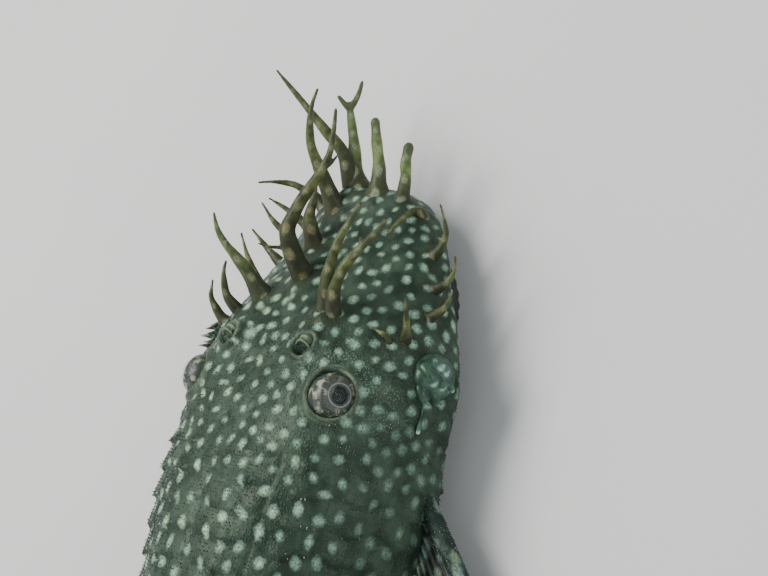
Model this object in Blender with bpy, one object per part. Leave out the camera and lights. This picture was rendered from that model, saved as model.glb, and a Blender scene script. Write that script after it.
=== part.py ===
"""Bristlenose pleco, an adult male, as a life-size still model in separate solids.

The fish lies along X with its snout towards +X, its left side towards +Y and its
belly on the floor at Z = 0. Places are given in millimetres as a station behind the
snout tip, a distance off the midline (left is positive) and a height above the floor.
"""

import math
import random
from collections import namedtuple

import bmesh
import bpy
from mathutils import Matrix, Vector

MM = 0.001

# Driving sizes, mm
REST_STATION = 42.0
GAP = 0.3
HEAD_END = 28.5
TRUNK_END = 71.0
STANDARD_LENGTH = 100.0
TAIL_SWEEP = 5.0
SWEEP_START = 45.0

# Station, half width, top, bottom and height of the widest line of the bare body, mm
BODY_SECTIONS = (
    (0.0, 0.0, 4.4, 4.4, 4.4),
    (0.5, 3.8, 6.2, 3.2, 4.4),
    (2.0, 6.9, 7.5, 2.6, 4.5),
    (5.0, 9.6, 8.8, 2.2, 4.7),
    (10.0, 12.0, 11.6, 2.0, 5.0),
    (16.0, 14.8, 15.2, 1.8, 5.4),
    (22.0, 16.0, 17.6, 1.4, 5.8),
    (29.0, 15.8, 19.4, 0.4, 6.2),
    (36.0, 15.2, 20.6, -0.3, 6.8),
    (46.0, 13.2, 21.0, -0.3, 7.6),
    (58.0, 10.0, 19.0, 0.3, 8.4),
    (70.0, 7.2, 16.6, 2.0, 8.8),
    (82.0, 4.8, 14.2, 3.6, 8.8),
    (92.0, 3.2, 13.4, 4.4, 8.8),
    (100.0, 2.4, 14.0, 4.4, 9.0),
)
SIDE_ROUNDNESS = 2.4
BACK_ROUNDNESS = 2.1
BELLY_FLATNESS = 3.0
HEAD_STATIONS = (0.25, 0.8, 1.8, 3.2, 5.2, 7.8, 10.6, 13.4, 16.2, 19.0, 22.0, 25.2)
HEAD_SIDES = 28

# Bony plates: five rows a side from behind the head to the tail fin
PLATES_START = 29.6
PLATE_PITCH = 2.9
PLATE_LIFT = 0.42
KEEL_LIFT = 0.28
SEAM_DEPTH = 0.12
STEP_LENGTH = 0.35
SEAM_ANGLES = (90.0, 63.0, 38.0, 13.0, -14.0, -48.0)
BELLY_ANGLES = (-64.0, -78.0, -90.0)

# Eyes and nostrils, mm
EYE_PLACE = (23.0, 10.4)
EYE_RADIUS = 2.5
EYE_SINK = 0.6
ORBIT_RIM = 0.5
NOSTRIL_PLACE = (18.3, 5.6)
NOSTRIL_RADIUS = 1.15
NOSTRIL_RIM = 0.38
NOSTRIL_FLAP = (1.5, 1.5, 0.55)

# Snout tentacles: root station and side; bow and tip station, side and height; width at the
# root; and forks, each the share of the length where it leaves, the side and its length
Tentacle = namedtuple("Tentacle", "root bow tip width forks")
TENTACLES = {
    "nostril_left": Tentacle(
        (14.0, 5.3), (10.5, 5.5, 16.5), (7.0, 8.0, 20.5), 2.3, [(0.66, 1, 1.8)]),
    "nostril_right_inner": Tentacle(
        (15.5, -5.5), (9.5, -8.5, 17.0), (4.0, -10.0, 17.0), 1.8, []),
    "nostril_right_outer": Tentacle(
        (15.5, -6.5), (10.5, -9.5, 16.5), (5.5, -12.0, 14.5), 1.8, [(0.8, -1, 1.8)]),
    "middle_back": Tentacle(
        (11.5, 1.0), (2.5, -0.5, 17.8), (-5.5, -3.5, 16.5), 2.5, [(0.24, 1, 3.0), (0.6, -1, 2.2)]),
    "middle": Tentacle(
        (8.0, 3.0), (5.0, 3.0, 12.0), (1.5, 2.0, 12.5), 2.7, []),
    "middle_front": Tentacle(
        (3.5, 3.5), (-2.0, 5.0, 13.5), (-8.5, 3.0, 14.0), 2.3, []),
    "lip_left_long": Tentacle(
        (1.0, 3.0), (-5.5, 4.5, 9.0), (-10.5, 9.5, 15.0), 2.1, [(0.45, 1, 2.4)]),
    "lip_left": Tentacle(
        (0.9, 2.2), (-4.5, 4.5, 7.0), (-8.5, 5.0, 8.0), 2.7, [(0.8, 1, 2.4)]),
    "lip_middle": Tentacle(
        (0.9, -0.8), (-3.0, -0.5, 7.4), (-6.5, -0.5, 8.0), 2.4, []),
    "lip_right": Tentacle(
        (1.4, -4.5), (-2.0, -5.5, 6.8), (-4.5, -5.5, 7.5), 1.7, []),
    "rim_right_arch": Tentacle(
        (4.4, -8.4), (0.0, -9.0, 9.0), (5.5, -5.0, 9.5), 2.1, []),
    "rim_right_second": Tentacle(
        (7.0, -10.4), (5.5, -12.5, 5.6), (2.0, -11.5, 7.5), 1.4, []),
    "rim_right_third": Tentacle(
        (10.5, -11.9), (10.0, -14.5, 6.0), (7.0, -14.5, 7.0), 1.4, []),
    "rim_right_fourth": Tentacle(
        (13.5, -13.3), (12.5, -15.5, 7.2), (10.5, -15.5, 7.5), 1.4, []),
    "cheek_right": Tentacle(
        (16.5, -13.5), (15.0, -15.0, 12.0), (12.5, -15.0, 13.0), 1.5, []),
    "cheek_left": Tentacle(
        (17.0, 12.0), (15.5, 13.8, 14.0), (12.8, 13.5, 14.2), 1.5, []),
    "snout_left": Tentacle(
        (15.8, 8.5), (14.0, 9.5, 16.5), (11.0, 9.0, 16.5), 1.5, []),
    "rim_left_fifth": Tentacle(
        (12.5, 12.6), (10.0, 16.0, 7.6), (6.5, 17.5, 8.6), 1.5, []),
    "rim_left_fourth": Tentacle(
        (9.5, 11.4), (8.0, 13.8, 7.2), (6.0, 15.5, 8.8), 1.5, []),
    "rim_left_third": Tentacle(
        (7.2, 10.4), (5.5, 13.0, 7.3), (3.0, 15.0, 8.6), 1.6, []),
    "rim_left_second": Tentacle(
        (5.0, 9.0), (3.5, 11.5, 6.8), (2.5, 13.5, 9.0), 1.6, []),
    "rim_left_first": Tentacle(
        (3.0, 7.4), (0.6, 10.5, 7.4), (1.2, 13.6, 10.8), 1.8, []),
}
TENTACLE_TIP = 0.5
TENTACLE_ROOT_DEPTH = 1.3
TENTACLE_SHARES = (0.0, 0.2, 0.45, 0.72, 1.0)
FORK_WIDTH_SHARE = 0.85

# Sucker mouth under the head, mm
MOUTH_STATION = 12.8
MOUTH_HALF = (8.6, 10.2)
MOUTH_RINGS = (0.17, 0.36, 0.55, 0.73, 0.87, 0.95, 1.0)
MOUTH_RIM = (0.87, 0.95)
MOUTH_HOLLOW = 0.55
MOUTH_EDGE = 0.55
MOUTH_SIDES = 24
MOUTH_GAPE = (1.5, 3.6)
BARBEL = (17.2, 10.4, 3.4, 1.0)

# Cheek patches with their hooked spines, mm
CHEEK_PLACE = (19.8, 14.6, 7.8)
CHEEK_HALF = (3.1, 2.1, 3.0)
CHEEK_SPINES = (4, 4)
CHEEK_SPACING = (1.45, 1.4)
CHEEK_SPINE = (1.7, 1.0)

# Fins, mm
RAY_HALF = 0.46
WEB_HALF = 0.26
SPINE_HALF = 0.85
SPINE_EDGE = 0.75
RAY_TIP_SHARE = 0.6
RAY_SHARES = (0.0, 0.14, 0.32, 0.52, 0.72, 0.88, 1.0)

# Colours (linear) and finishes: red, green, blue, roughness
FINISHES = {
    "skin": (0.022, 0.030, 0.026, 0.42),
    "fin": (0.050, 0.052, 0.036, 0.45),
    "eye": (0.012, 0.012, 0.014, 0.08),
    "mouth": (0.300, 0.235, 0.170, 0.50),
    "spine": (0.180, 0.120, 0.060, 0.35),
}


def steady_slopes(xs, ys):
    """Slopes of a smooth curve that never overshoots its points."""
    steps = [b - a for a, b in zip(xs, xs[1:])]
    rises = [(b - a) / h for a, b, h in zip(ys, ys[1:], steps)]
    slopes = [rises[0]]
    for before, after, h0, h1 in zip(rises, rises[1:], steps, steps[1:]):
        if before * after <= 0.0:
            slopes.append(0.0)
            continue
        w0 = 2.0 * h1 + h0
        w1 = h1 + 2.0 * h0
        slopes.append((w0 + w1) / (w0 / before + w1 / after))
    slopes.append(rises[-1])
    return slopes


class Track:
    """One size of the body along its length, smooth over the root of the station."""

    def __init__(self, column):
        self.xs = [math.sqrt(row[0]) for row in BODY_SECTIONS]
        self.ys = [row[column] for row in BODY_SECTIONS]
        self.slopes = steady_slopes(self.xs, self.ys)

    def __call__(self, station):
        x = math.sqrt(max(station, 0.0))
        x = min(x, self.xs[-1])
        k = max(i for i in range(len(self.xs) - 1) if self.xs[i] <= x)
        h = self.xs[k + 1] - self.xs[k]
        t = (x - self.xs[k]) / h
        rise = self.ys[k + 1] - self.ys[k]
        bend = t * (1.0 - t) * h
        lean = self.slopes[k] * (1.0 - t) - self.slopes[k + 1] * t
        ease = t * t * (3.0 - 2.0 * t)
        return self.ys[k] + rise * ease + bend * lean


HALF_WIDTH = Track(1)
TOP = Track(2)
BOTTOM = Track(3)
WIDEST = Track(4)


def place(station, side, height):
    """World point in metres; the tail sweeps a little to the left."""
    past = max(station - SWEEP_START, 0.0) / (STANDARD_LENGTH - SWEEP_START)
    sweep = TAIL_SWEEP * past * past
    return Vector((REST_STATION - station, side + sweep, height)) * MM


def section_point(station, degrees, grow=0.0):
    """Side and height of the bare skin; 0 degrees is the left edge and 90 the back."""
    half = HALF_WIDTH(station) + grow
    widest = WIDEST(station)
    across = math.cos(math.radians(degrees))
    up = math.sin(math.radians(degrees))
    if up >= 0.0:
        reach = TOP(station) + grow - widest
        side = abs(across) ** (2.0 / SIDE_ROUNDNESS)
        height = widest + reach * up ** (2.0 / BACK_ROUNDNESS)
    else:
        reach = widest - BOTTOM(station) + grow
        side = abs(across) ** (2.0 / BELLY_FLATNESS)
        height = widest - reach * (-up) ** (2.0 / BELLY_FLATNESS)
    return math.copysign(side * half, across), height


def back_height(station, side):
    """Height of the upper skin at a distance off the midline."""
    share = min(abs(side) / HALF_WIDTH(station), 1.0)
    across = share ** (SIDE_ROUNDNESS / 2.0)
    up = math.sqrt(1.0 - across * across)
    reach = TOP(station) - WIDEST(station)
    return WIDEST(station) + reach * up ** (2.0 / BACK_ROUNDNESS)


def belly_height(station, side):
    """Height of the lower skin at a distance off the midline."""
    share = min(abs(side) / HALF_WIDTH(station), 1.0)
    up = (1.0 - share ** BELLY_FLATNESS) ** (1.0 / BELLY_FLATNESS)
    return WIDEST(station) - (WIDEST(station) - BOTTOM(station)) * up


def back_normal(station, side):
    """Outward direction of the upper skin, in world axes."""
    step = 0.25
    side = math.copysign(min(abs(side), HALF_WIDTH(station) * 0.985), side)
    ahead = back_height(station - step, side)
    behind = back_height(station + step, side)
    inner = back_height(station, side - step)
    outer = back_height(station, side + step)
    fore = (ahead - behind) / (2.0 * step)
    across = (outer - inner) / (2.0 * step)
    return Vector((-fore, -across, 1.0)).normalized()


def material(name):
    """Principled material of one finish."""
    found = bpy.data.materials.get(name)
    if found:
        return found
    red, green, blue, roughness = FINISHES[name]
    made = bpy.data.materials.new(name)
    made.use_nodes = True
    shader = made.node_tree.nodes["Principled BSDF"]
    shader.inputs["Base Color"].default_value = (red, green, blue, 1.0)
    shader.inputs["Roughness"].default_value = roughness
    shader.inputs["Metallic"].default_value = 0.0
    made.diffuse_color = (red, green, blue, 1.0)
    return made


def outward(mesh):
    """Weld the shared points and turn every face out."""
    work = bmesh.new()
    work.from_mesh(mesh)
    bmesh.ops.remove_doubles(work, verts=work.verts, dist=0.000001)
    bmesh.ops.recalc_face_normals(work, faces=work.faces)
    work.to_mesh(mesh)
    work.free()


def mesh_object(name, points, faces, collection):
    mesh = bpy.data.meshes.new(name)
    mesh.from_pydata(points, [], faces)
    outward(mesh)
    made = bpy.data.objects.new(name, mesh)
    collection.objects.link(made)
    return made


def loft(name, rings, collection):
    """Closed skin over rings of equal count; a ring of one point closes to a tip."""
    points = []
    starts = []
    for ring in rings:
        starts.append(len(points))
        points.extend(ring)
    sides = max(len(ring) for ring in rings)
    faces = []
    for ring, following, a, b in zip(rings, rings[1:], starts, starts[1:]):
        for i in range(sides):
            j = (i + 1) % sides
            if len(ring) == 1:
                faces.append((a, b + i, b + j))
            elif len(following) == 1:
                faces.append((a + i, a + j, b))
            else:
                faces.append((a + i, a + j, b + j, b + i))
    if len(rings[0]) > 1:
        faces.append(tuple(range(starts[0], starts[0] + sides)))
    if len(rings[-1]) > 1:
        faces.append(tuple(range(starts[-1], starts[-1] + sides)))
    return mesh_object(name, points, faces, collection)


def as_mesh(made, collection):
    """Swap an object for the mesh that its modifiers or its curve make."""
    made.data.name = made.name + "_source"
    bpy.context.view_layer.update()
    graph = bpy.context.evaluated_depsgraph_get()
    mesh = bpy.data.meshes.new_from_object(made.evaluated_get(graph))
    mesh.transform(made.matrix_world)
    name = made.name
    bpy.data.objects.remove(made)
    mesh.name = name
    solid = bpy.data.objects.new(name, mesh)
    collection.objects.link(solid)
    return solid


def keep_largest(made):
    """Keep only the largest closed surface of a mesh."""
    work = bmesh.new()
    work.from_mesh(made.data)
    bmesh.ops.remove_doubles(work, verts=work.verts, dist=0.000001)
    bmesh.ops.dissolve_degenerate(work, edges=work.edges, dist=0.000001)
    bmesh.ops.triangulate(work, faces=work.faces)
    left = set(work.faces)
    islands = []
    while left:
        seed = left.pop()
        island = {seed}
        front = [seed]
        while front:
            face = front.pop()
            near = [f for edge in face.edges for f in edge.link_faces if f in left]
            left.difference_update(near)
            island.update(near)
            front.extend(near)
        islands.append(island)
    islands.sort(key=len, reverse=True)
    for island in islands[1:]:
        bmesh.ops.delete(work, geom=list(island), context="FACES")
    loose = [v for v in work.verts if not v.link_faces]
    bmesh.ops.delete(work, geom=loose, context="VERTS")
    bmesh.ops.recalc_face_normals(work, faces=work.faces)
    work.to_mesh(made.data)
    work.free()


def boolean(made, operation, others, solver, collection):
    """Join or cut one object with a collection of closed pieces, and apply it."""
    step = made.modifiers.new(operation.lower(), "BOOLEAN")
    step.operation = operation
    step.solver = solver
    step.operand_type = "COLLECTION"
    step.collection = others
    solid = as_mesh(made, collection)
    keep_largest(solid)
    return solid


def new_collection(name, parent=None):
    made = bpy.data.collections.new(name)
    (parent or bpy.context.scene.collection).children.link(made)
    return made


def clear(collection):
    """Remove a helper collection with all that is in it."""
    for made in list(collection.objects):
        bpy.data.objects.remove(made)
    bpy.data.collections.remove(collection)


def as_cutter(made):
    made.hide_render = True
    made.display_type = "WIRE"
    return made


def taper_tube(name, points, widths, collection, roundness=1):
    """Tapered tube along world points, as a curve made a closed mesh."""
    curve = bpy.data.curves.new(name, "CURVE")
    curve.dimensions = "3D"
    curve.bevel_depth = 1.0
    curve.bevel_resolution = roundness
    curve.use_fill_caps = True
    spline = curve.splines.new("POLY")
    spline.points.add(len(points) - 1)
    for knot, point, width in zip(spline.points, points, widths):
        knot.co = (*point, 1.0)
        knot.radius = width * 0.5 * MM
    made = bpy.data.objects.new(name, curve)
    collection.objects.link(made)
    solid = as_mesh(made, collection)
    outward(solid.data)
    return solid


def bow_point(root, bow, tip, share):
    """Point of the quadratic curve from root to tip that leans towards bow."""
    rest = 1.0 - share
    return root * (rest * rest) + bow * (2.0 * rest * share) + tip * (share * share)


def tentacle(name, spec, collection):
    """One soft tentacle with a flared root sunk in the snout, and its forks if any."""
    station, side = spec.root
    root = place(station, side, back_height(station, side))
    bow = place(*spec.bow)
    tip = place(*spec.tip)
    points = [root - back_normal(station, side) * TENTACLE_ROOT_DEPTH * MM]
    widths = [spec.width * 1.2]
    for share in TENTACLE_SHARES:
        points.append(bow_point(root, bow, tip, share))
        widths.append(tentacle_width(spec.width, share))
    taper_tube(name, points, widths, collection)
    for share, fork_side, length in spec.forks:
        start = bow_point(root, bow, tip, share)
        along = (bow_point(root, bow, tip, share + 0.05) - start).normalized()
        lean = (along * 0.8 + Vector((0.0, fork_side, 0.25)).normalized()).normalized()
        wide = tentacle_width(spec.width, share) * FORK_WIDTH_SHARE
        bend = start + lean * length * 0.5 * MM
        knots = [start, bend, bend + (lean + along * 0.5).normalized() * length * 0.5 * MM]
        taper_tube(name + "_fork", knots, [wide, wide * 0.75, TENTACLE_TIP], collection)


def tentacle_width(root_width, share):
    """Width of a tentacle that thins out steadily to a blunt tip."""
    return max(root_width * (1.0 - 0.85 * share ** 0.8), TENTACLE_TIP)


def ball(name, centre, radius, collection, sides=20, rings=12):
    work = bmesh.new()
    bmesh.ops.create_uvsphere(work, u_segments=sides, v_segments=rings, radius=radius)
    bmesh.ops.transform(work, matrix=Matrix.Translation(centre), verts=work.verts)
    mesh = bpy.data.meshes.new(name)
    work.to_mesh(mesh)
    work.free()
    made = bpy.data.objects.new(name, mesh)
    collection.objects.link(made)
    return made


def rim(name, centre, normal, radius, thickness, sides, collection):
    """Raised ring round an eye or a nostril."""
    turn = normal.to_track_quat("Z", "Y").to_euler()
    bpy.ops.mesh.primitive_torus_add(
        location=centre, rotation=turn, major_segments=sides, minor_segments=6,
        major_radius=radius * MM, minor_radius=thickness * MM)
    made = bpy.context.object
    for holder in list(made.users_collection):
        holder.objects.unlink(made)
    collection.objects.link(made)
    made.name = name
    return as_mesh(made, collection)


def eye_centre(hand):
    station, side = EYE_PLACE
    normal = back_normal(station, side * hand)
    skin = place(station, side * hand, back_height(station, side))
    return skin - normal * EYE_SINK * MM, normal


def head_ring(station):
    angles = [360.0 * i / HEAD_SIDES for i in range(HEAD_SIDES)]
    return [place(station, *section_point(station, a)) for a in angles]


def make_head(solids, cutters):
    """Head with its tentacles, orbits and nostrils, in one closed body."""
    joined = new_collection("head_pieces", cutters)
    rings = [[place(0.0, 0.0, TOP(0.0))]]
    rings.extend(head_ring(s) for s in HEAD_STATIONS)
    rings.append(head_ring(HEAD_END))
    head = loft("head", rings, solids)
    for name, spec in TENTACLES.items():
        tentacle("tentacle_" + name, spec, joined)
    for hand in (1, -1):
        centre, normal = eye_centre(hand)
        rim("orbit", centre + normal * 0.3 * MM, normal, EYE_RADIUS + 0.3, ORBIT_RIM, 18, joined)
        station, side = NOSTRIL_PLACE
        side *= hand
        spot = place(station, side, back_height(station, side))
        normal = back_normal(station, side)
        rim("nostril_rim", spot, normal, NOSTRIL_RADIUS, NOSTRIL_RIM, 12, joined)
        nostril_flap(spot, normal, joined)
    head = boolean(head, "UNION", joined, "EXACT", solids)
    clear(joined)
    holes = new_collection("head_holes", cutters)
    for hand in (1, -1):
        centre, normal = eye_centre(hand)
        as_cutter(ball("socket", centre, (EYE_RADIUS + GAP) * MM, holes, 18, 11))
        station, side = NOSTRIL_PLACE
        side *= hand
        for shift in (-0.62, 0.62):
            spot = place(station + shift, side, back_height(station + shift, side))
            as_cutter(ball("nostril_pit", spot, 0.5 * MM, holes, 10, 6))
    head = boolean(head, "DIFFERENCE", holes, "EXACT", solids)
    clear(holes)
    finish(head, "skin")


def nostril_flap(spot, normal, collection):
    """Small upright flap that parts the two openings of a nostril."""
    width, height, thick = NOSTRIL_FLAP
    work = bmesh.new()
    bmesh.ops.create_cube(work, size=1.0)
    for v in work.verts:
        narrow = 0.55 if v.co.z > 0.0 else 1.0
        v.co.x *= thick * narrow * MM
        v.co.y *= width * narrow * MM
        v.co.z = (v.co.z + 0.1) * height * MM
    turn = normal.to_track_quat("Z", "Y").to_matrix().to_4x4()
    bmesh.ops.transform(work, matrix=Matrix.Translation(spot) @ turn, verts=work.verts)
    mesh = bpy.data.meshes.new("nostril_flap")
    work.to_mesh(mesh)
    work.free()
    made = bpy.data.objects.new("nostril_flap", mesh)
    collection.objects.link(made)


def plate_ring(station, lift, grow=0.0):
    """Section with its plate rows raised, low along the seams and high on the keels."""
    left = []
    for seam, following in zip(SEAM_ANGLES, SEAM_ANGLES[1:]):
        left.append((seam, lift * 0.3 - SEAM_DEPTH))
        left.append((0.5 * (seam + following), lift + KEEL_LIFT * lift / PLATE_LIFT))
    left.append((SEAM_ANGLES[-1], lift * 0.3 - SEAM_DEPTH))
    left.extend((a, 0.0) for a in BELLY_ANGLES)
    ring = left + [(180.0 - a, raised) for a, raised in reversed(left[1:-1])]
    points = []
    for degrees, raised in ring:
        side, height = section_point(station, degrees, grow + raised)
        points.append(place(station, side, max(height, -grow)))
    return points


def plated_rings(start, end, grow=0.0):
    """Rings of plates that step down behind each rear edge."""
    rings = [plate_ring(start, 0.0, grow)]
    station = PLATES_START
    while station < STANDARD_LENGTH - 0.5:
        following = station + PLATE_PITCH
        scale = 0.55 + 0.45 * HALF_WIDTH(station) / HALF_WIDTH(HEAD_END)
        if start + 0.5 < station < end - 0.5:
            rings.append(plate_ring(station, 0.02, grow))
        rear = following - STEP_LENGTH
        if start + 0.5 < rear < end - 0.2:
            rings.append(plate_ring(rear, PLATE_LIFT * scale, grow))
        station = following
    rings.append(plate_ring(end, 0.0, grow))
    return rings


def make_trunk(solids):
    trunk = loft("trunk", plated_rings(HEAD_END + GAP, TRUNK_END), solids)
    finish(trunk, "skin")


def make_tail_stalk(solids):
    stalk = loft("tail_stalk", plated_rings(TRUNK_END + GAP, STANDARD_LENGTH), solids)
    finish(stalk, "skin")


def body_guide(collection):
    """The plated body grown by the gap, which clears the roots of the fins."""
    rings = plated_rings(HEAD_END - 1.0, STANDARD_LENGTH + GAP, GAP)
    return as_cutter(loft("body_guide", rings, collection))


def head_guide(collection):
    rings = [[place(0.0, 0.0, TOP(0.0)) + Vector((GAP * MM, 0.0, 0.0))]]
    angles = [360.0 * i / HEAD_SIDES for i in range(HEAD_SIDES)]
    for station in HEAD_STATIONS + (HEAD_END, HEAD_END + GAP):
        spots = [section_point(station, a, GAP) for a in angles]
        rings.append([place(station, *spot) for spot in spots])
    return as_cutter(loft("head_guide", rings, collection))


def make_eye(hand, name, solids):
    centre, normal = eye_centre(hand)
    eye = ball(name, centre, EYE_RADIUS * MM, solids, 18, 11)
    finish(eye, "eye")


def ray_line(root, tip, bow):
    """Points of a fin ray from its root to its tip, bowed by a named offset."""
    root = Vector(root)
    tip = Vector(tip)
    lean = Vector(bow)
    points = []
    for share in RAY_SHARES:
        points.append(root.lerp(tip, share) + lean * (4.0 * share * (1.0 - share)))
    return points


def fin_solid(name, rays, collection):
    """Thin closed fin: rays raised as ridges, webs between them, a stout spine in front.

    Each ray is a list of points in body places, front ray first.
    """
    columns = []
    out = []
    for point, after, share in zip(rays[0], rays[1], RAY_SHARES):
        away = (point - after).normalized()
        out.append(point + away * SPINE_EDGE * (1.0 - 0.5 * share))
    columns.append((out, WEB_HALF, WEB_HALF))
    columns.append((rays[0], SPINE_HALF, RAY_TIP_SHARE * RAY_HALF))
    for ray, following in zip(rays, rays[1:]):
        web = []
        for k, (a, b) in enumerate(zip(ray, following)):
            middle = a.lerp(b, 0.5)
            base = ray[0].lerp(following[0], 0.5)
            web.append(middle.lerp(base, 0.05 * RAY_SHARES[k]))
        columns.append((web, WEB_HALF, WEB_HALF))
        columns.append((following, RAY_HALF, RAY_TIP_SHARE * RAY_HALF))
    return sheet(name, columns, collection)


def sheet(name, columns, collection):
    """Closed thin sheet whose two faces are split in triangles alike."""
    count = len(columns)
    rows = len(columns[0][0])
    faces_up = []
    points = []
    for i, (line, thick_root, thick_tip) in enumerate(columns):
        before = columns[max(i - 1, 0)][0]
        after = columns[min(i + 1, count - 1)][0]
        for j, point in enumerate(line):
            along = line[min(j + 1, rows - 1)] - line[max(j - 1, 0)]
            across = after[j] - before[j]
            normal = along.cross(across).normalized()
            share = RAY_SHARES[j]
            half = thick_root + (thick_tip - thick_root) * share
            points.append(place(*(point + normal * half)))
            points.append(place(*(point - normal * half)))

    def spot(i, j, face):
        return 2 * (i * rows + j) + face

    for i in range(count - 1):
        for j in range(rows - 1):
            for face in (0, 1):
                a = spot(i, j, face)
                b = spot(i + 1, j, face)
                c = spot(i + 1, j + 1, face)
                d = spot(i, j + 1, face)
                faces_up.append((a, b, c))
                faces_up.append((a, c, d))
    border = [(i, 0) for i in range(count)]
    border += [(count - 1, j) for j in range(1, rows)]
    border += [(i, rows - 1) for i in range(count - 2, -1, -1)]
    border += [(0, j) for j in range(rows - 2, 0, -1)]
    for here, there in zip(border, border[1:] + border[:1]):
        a = spot(*here, 0)
        b = spot(*there, 0)
        c = spot(*there, 1)
        d = spot(*here, 1)
        faces_up.append((a, b, c))
        faces_up.append((a, c, d))
    return mesh_object(name, points, faces_up, collection)


def fan(count, first, last, bow, swell):
    """Rays spread evenly from a first to a last one, each a root and a tip.

    The middle rays are longer by the share of swell, so that the edge is rounded.
    """
    rays = []
    for i in range(count):
        share = i / (count - 1)
        root = Vector(first[0]).lerp(Vector(last[0]), share)
        tip = Vector(first[1]).lerp(Vector(last[1]), share)
        tip += (tip - root) * swell * 4.0 * share * (1.0 - share)
        rays.append(ray_line(root, tip, bow))
    return rays


def make_body_fin(name, rays, guides, solids):
    """Fin with its root cut clear of the body that it grows from."""
    fin = fin_solid(name, rays, solids)
    finish(boolean(fin, "DIFFERENCE", guides, "EXACT", solids), "fin")


def make_dorsal_fin(guides, solids):
    first = ((46.0, 0.0, 19.5), (57.0, 0.0, 38.5))
    last = ((68.5, 0.0, 15.5), (80.0, 0.0, 21.5))
    rays = fan(8, first, last, (0.9, 0.0, 0.5), 0.1)
    make_body_fin("dorsal_fin", rays, guides, solids)


def make_adipose_fin(guides, solids):
    first = ((84.0, 0.0, 12.4), (90.5, 0.0, 19.4))
    last = ((92.0, 0.0, 12.2), (94.5, 0.0, 14.9))
    rays = fan(3, first, last, (0.4, 0.0, 0.2), 0.0)
    make_body_fin("adipose_fin", rays, guides, solids)


def make_anal_fin(guides, solids):
    first = ((73.5, 0.0, 3.4), (86.0, 0.0, 0.75))
    last = ((78.0, 0.0, 4.4), (87.5, 0.0, 2.7))
    rays = fan(5, first, last, (0.3, 0.0, -0.2), 0.0)
    make_body_fin("anal_fin", rays, guides, solids)


def make_pectoral_fin(hand, name, guides, solids):
    first = ((30.4, 13.4 * hand, 4.8), (54.5, 34.5 * hand, 1.8))
    last = ((35.5, 13.0 * hand, 3.6), (53.0, 17.6 * hand, 1.3))
    rays = fan(7, first, last, (0.0, 1.0 * hand, 0.5), 0.12)
    make_body_fin(name, rays, guides, solids)


def make_pelvic_fin(hand, name, guides, solids):
    first = ((52.5, 8.5 * hand, 2.6), (70.5, 22.5 * hand, 1.2))
    last = ((57.0, 7.5 * hand, 2.3), (71.5, 9.6 * hand, 0.9))
    rays = fan(6, first, last, (0.0, 0.8 * hand, 0.3), 0.1)
    make_body_fin(name, rays, guides, solids)


def make_caudal_fin(solids):
    """Tail fin with a longer lower lobe that just clears the floor."""
    start = STANDARD_LENGTH + GAP
    rays = []
    count = 14
    for i in range(count):
        share = i / (count - 1)
        root = Vector((start, 0.0, 13.2 - 8.0 * share))
        edge = 2.0 * share - 1.0
        height = 25.5 - 24.3 * share
        reach = 24.5 + 5.0 * edge ** 2 + 3.5 * share
        tip = Vector((start + reach, 0.0, height))
        bow = (0.0, 0.0, -1.1 * edge)
        rays.append(ray_line(root, tip, bow))
    fin = fin_solid("caudal_fin", rays, solids)
    finish(fin, "fin")


def make_mouth_disc(solids, cutters):
    """Sucker disc with a soft rim on the floor, a gape across it and two barbels."""
    rows_down = []
    rows_up = []
    for ring in MOUTH_RINGS:
        down = []
        up = []
        for i in range(MOUTH_SIDES):
            turn = 2.0 * math.pi * i / MOUTH_SIDES
            station = MOUTH_STATION + MOUTH_HALF[0] * ring * math.cos(turn)
            side = MOUTH_HALF[1] * ring * math.sin(turn)
            roof = belly_height(station, side) - GAP
            down.append(place(station, side, disc_height(station, side, ring)))
            up.append(place(station, side, roof))
        rows_down.append(down)
        rows_up.append(up)
    under = place(MOUTH_STATION, 0.0, disc_height(MOUTH_STATION, 0.0, 0.0))
    over = place(MOUTH_STATION, 0.0, belly_height(MOUTH_STATION, 0.0) - GAP)
    rings = [[under]] + rows_down + rows_up[::-2] + [[over]]
    joined = new_collection("mouth_pieces", cutters)
    disc = loft("mouth_disc", rings, solids)
    station, side, length, width = BARBEL
    for hand in (1, -1):
        root = place(station - 1.0, (side - 2.2) * hand, 0.95)
        middle = place(station + 0.4, (side - 0.4) * hand, 0.75)
        tip = place(station + length, (side + 0.6) * hand, 0.5)
        taper_tube("barbel", [root, middle, tip], [width, width, 0.6], joined)
    disc = boolean(disc, "UNION", joined, "EXACT", solids)
    clear(joined)
    finish(disc, "mouth")


def disc_height(station, side, ring):
    """Under side of the sucker: rim at the floor, hollow inside, gape across it."""
    inner, outer = MOUTH_RIM
    if ring > outer:
        return MOUTH_EDGE
    if ring >= inner:
        return 0.0
    hollow = MOUTH_HOLLOW * (1.0 - (ring / inner) ** 3)
    along = (station - MOUTH_STATION + 2.0) / MOUTH_GAPE[0]
    across = side / MOUTH_GAPE[1]
    gape = math.exp(-(along * along + across * across)) * 0.35
    return max(hollow + gape, 0.0)


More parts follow.
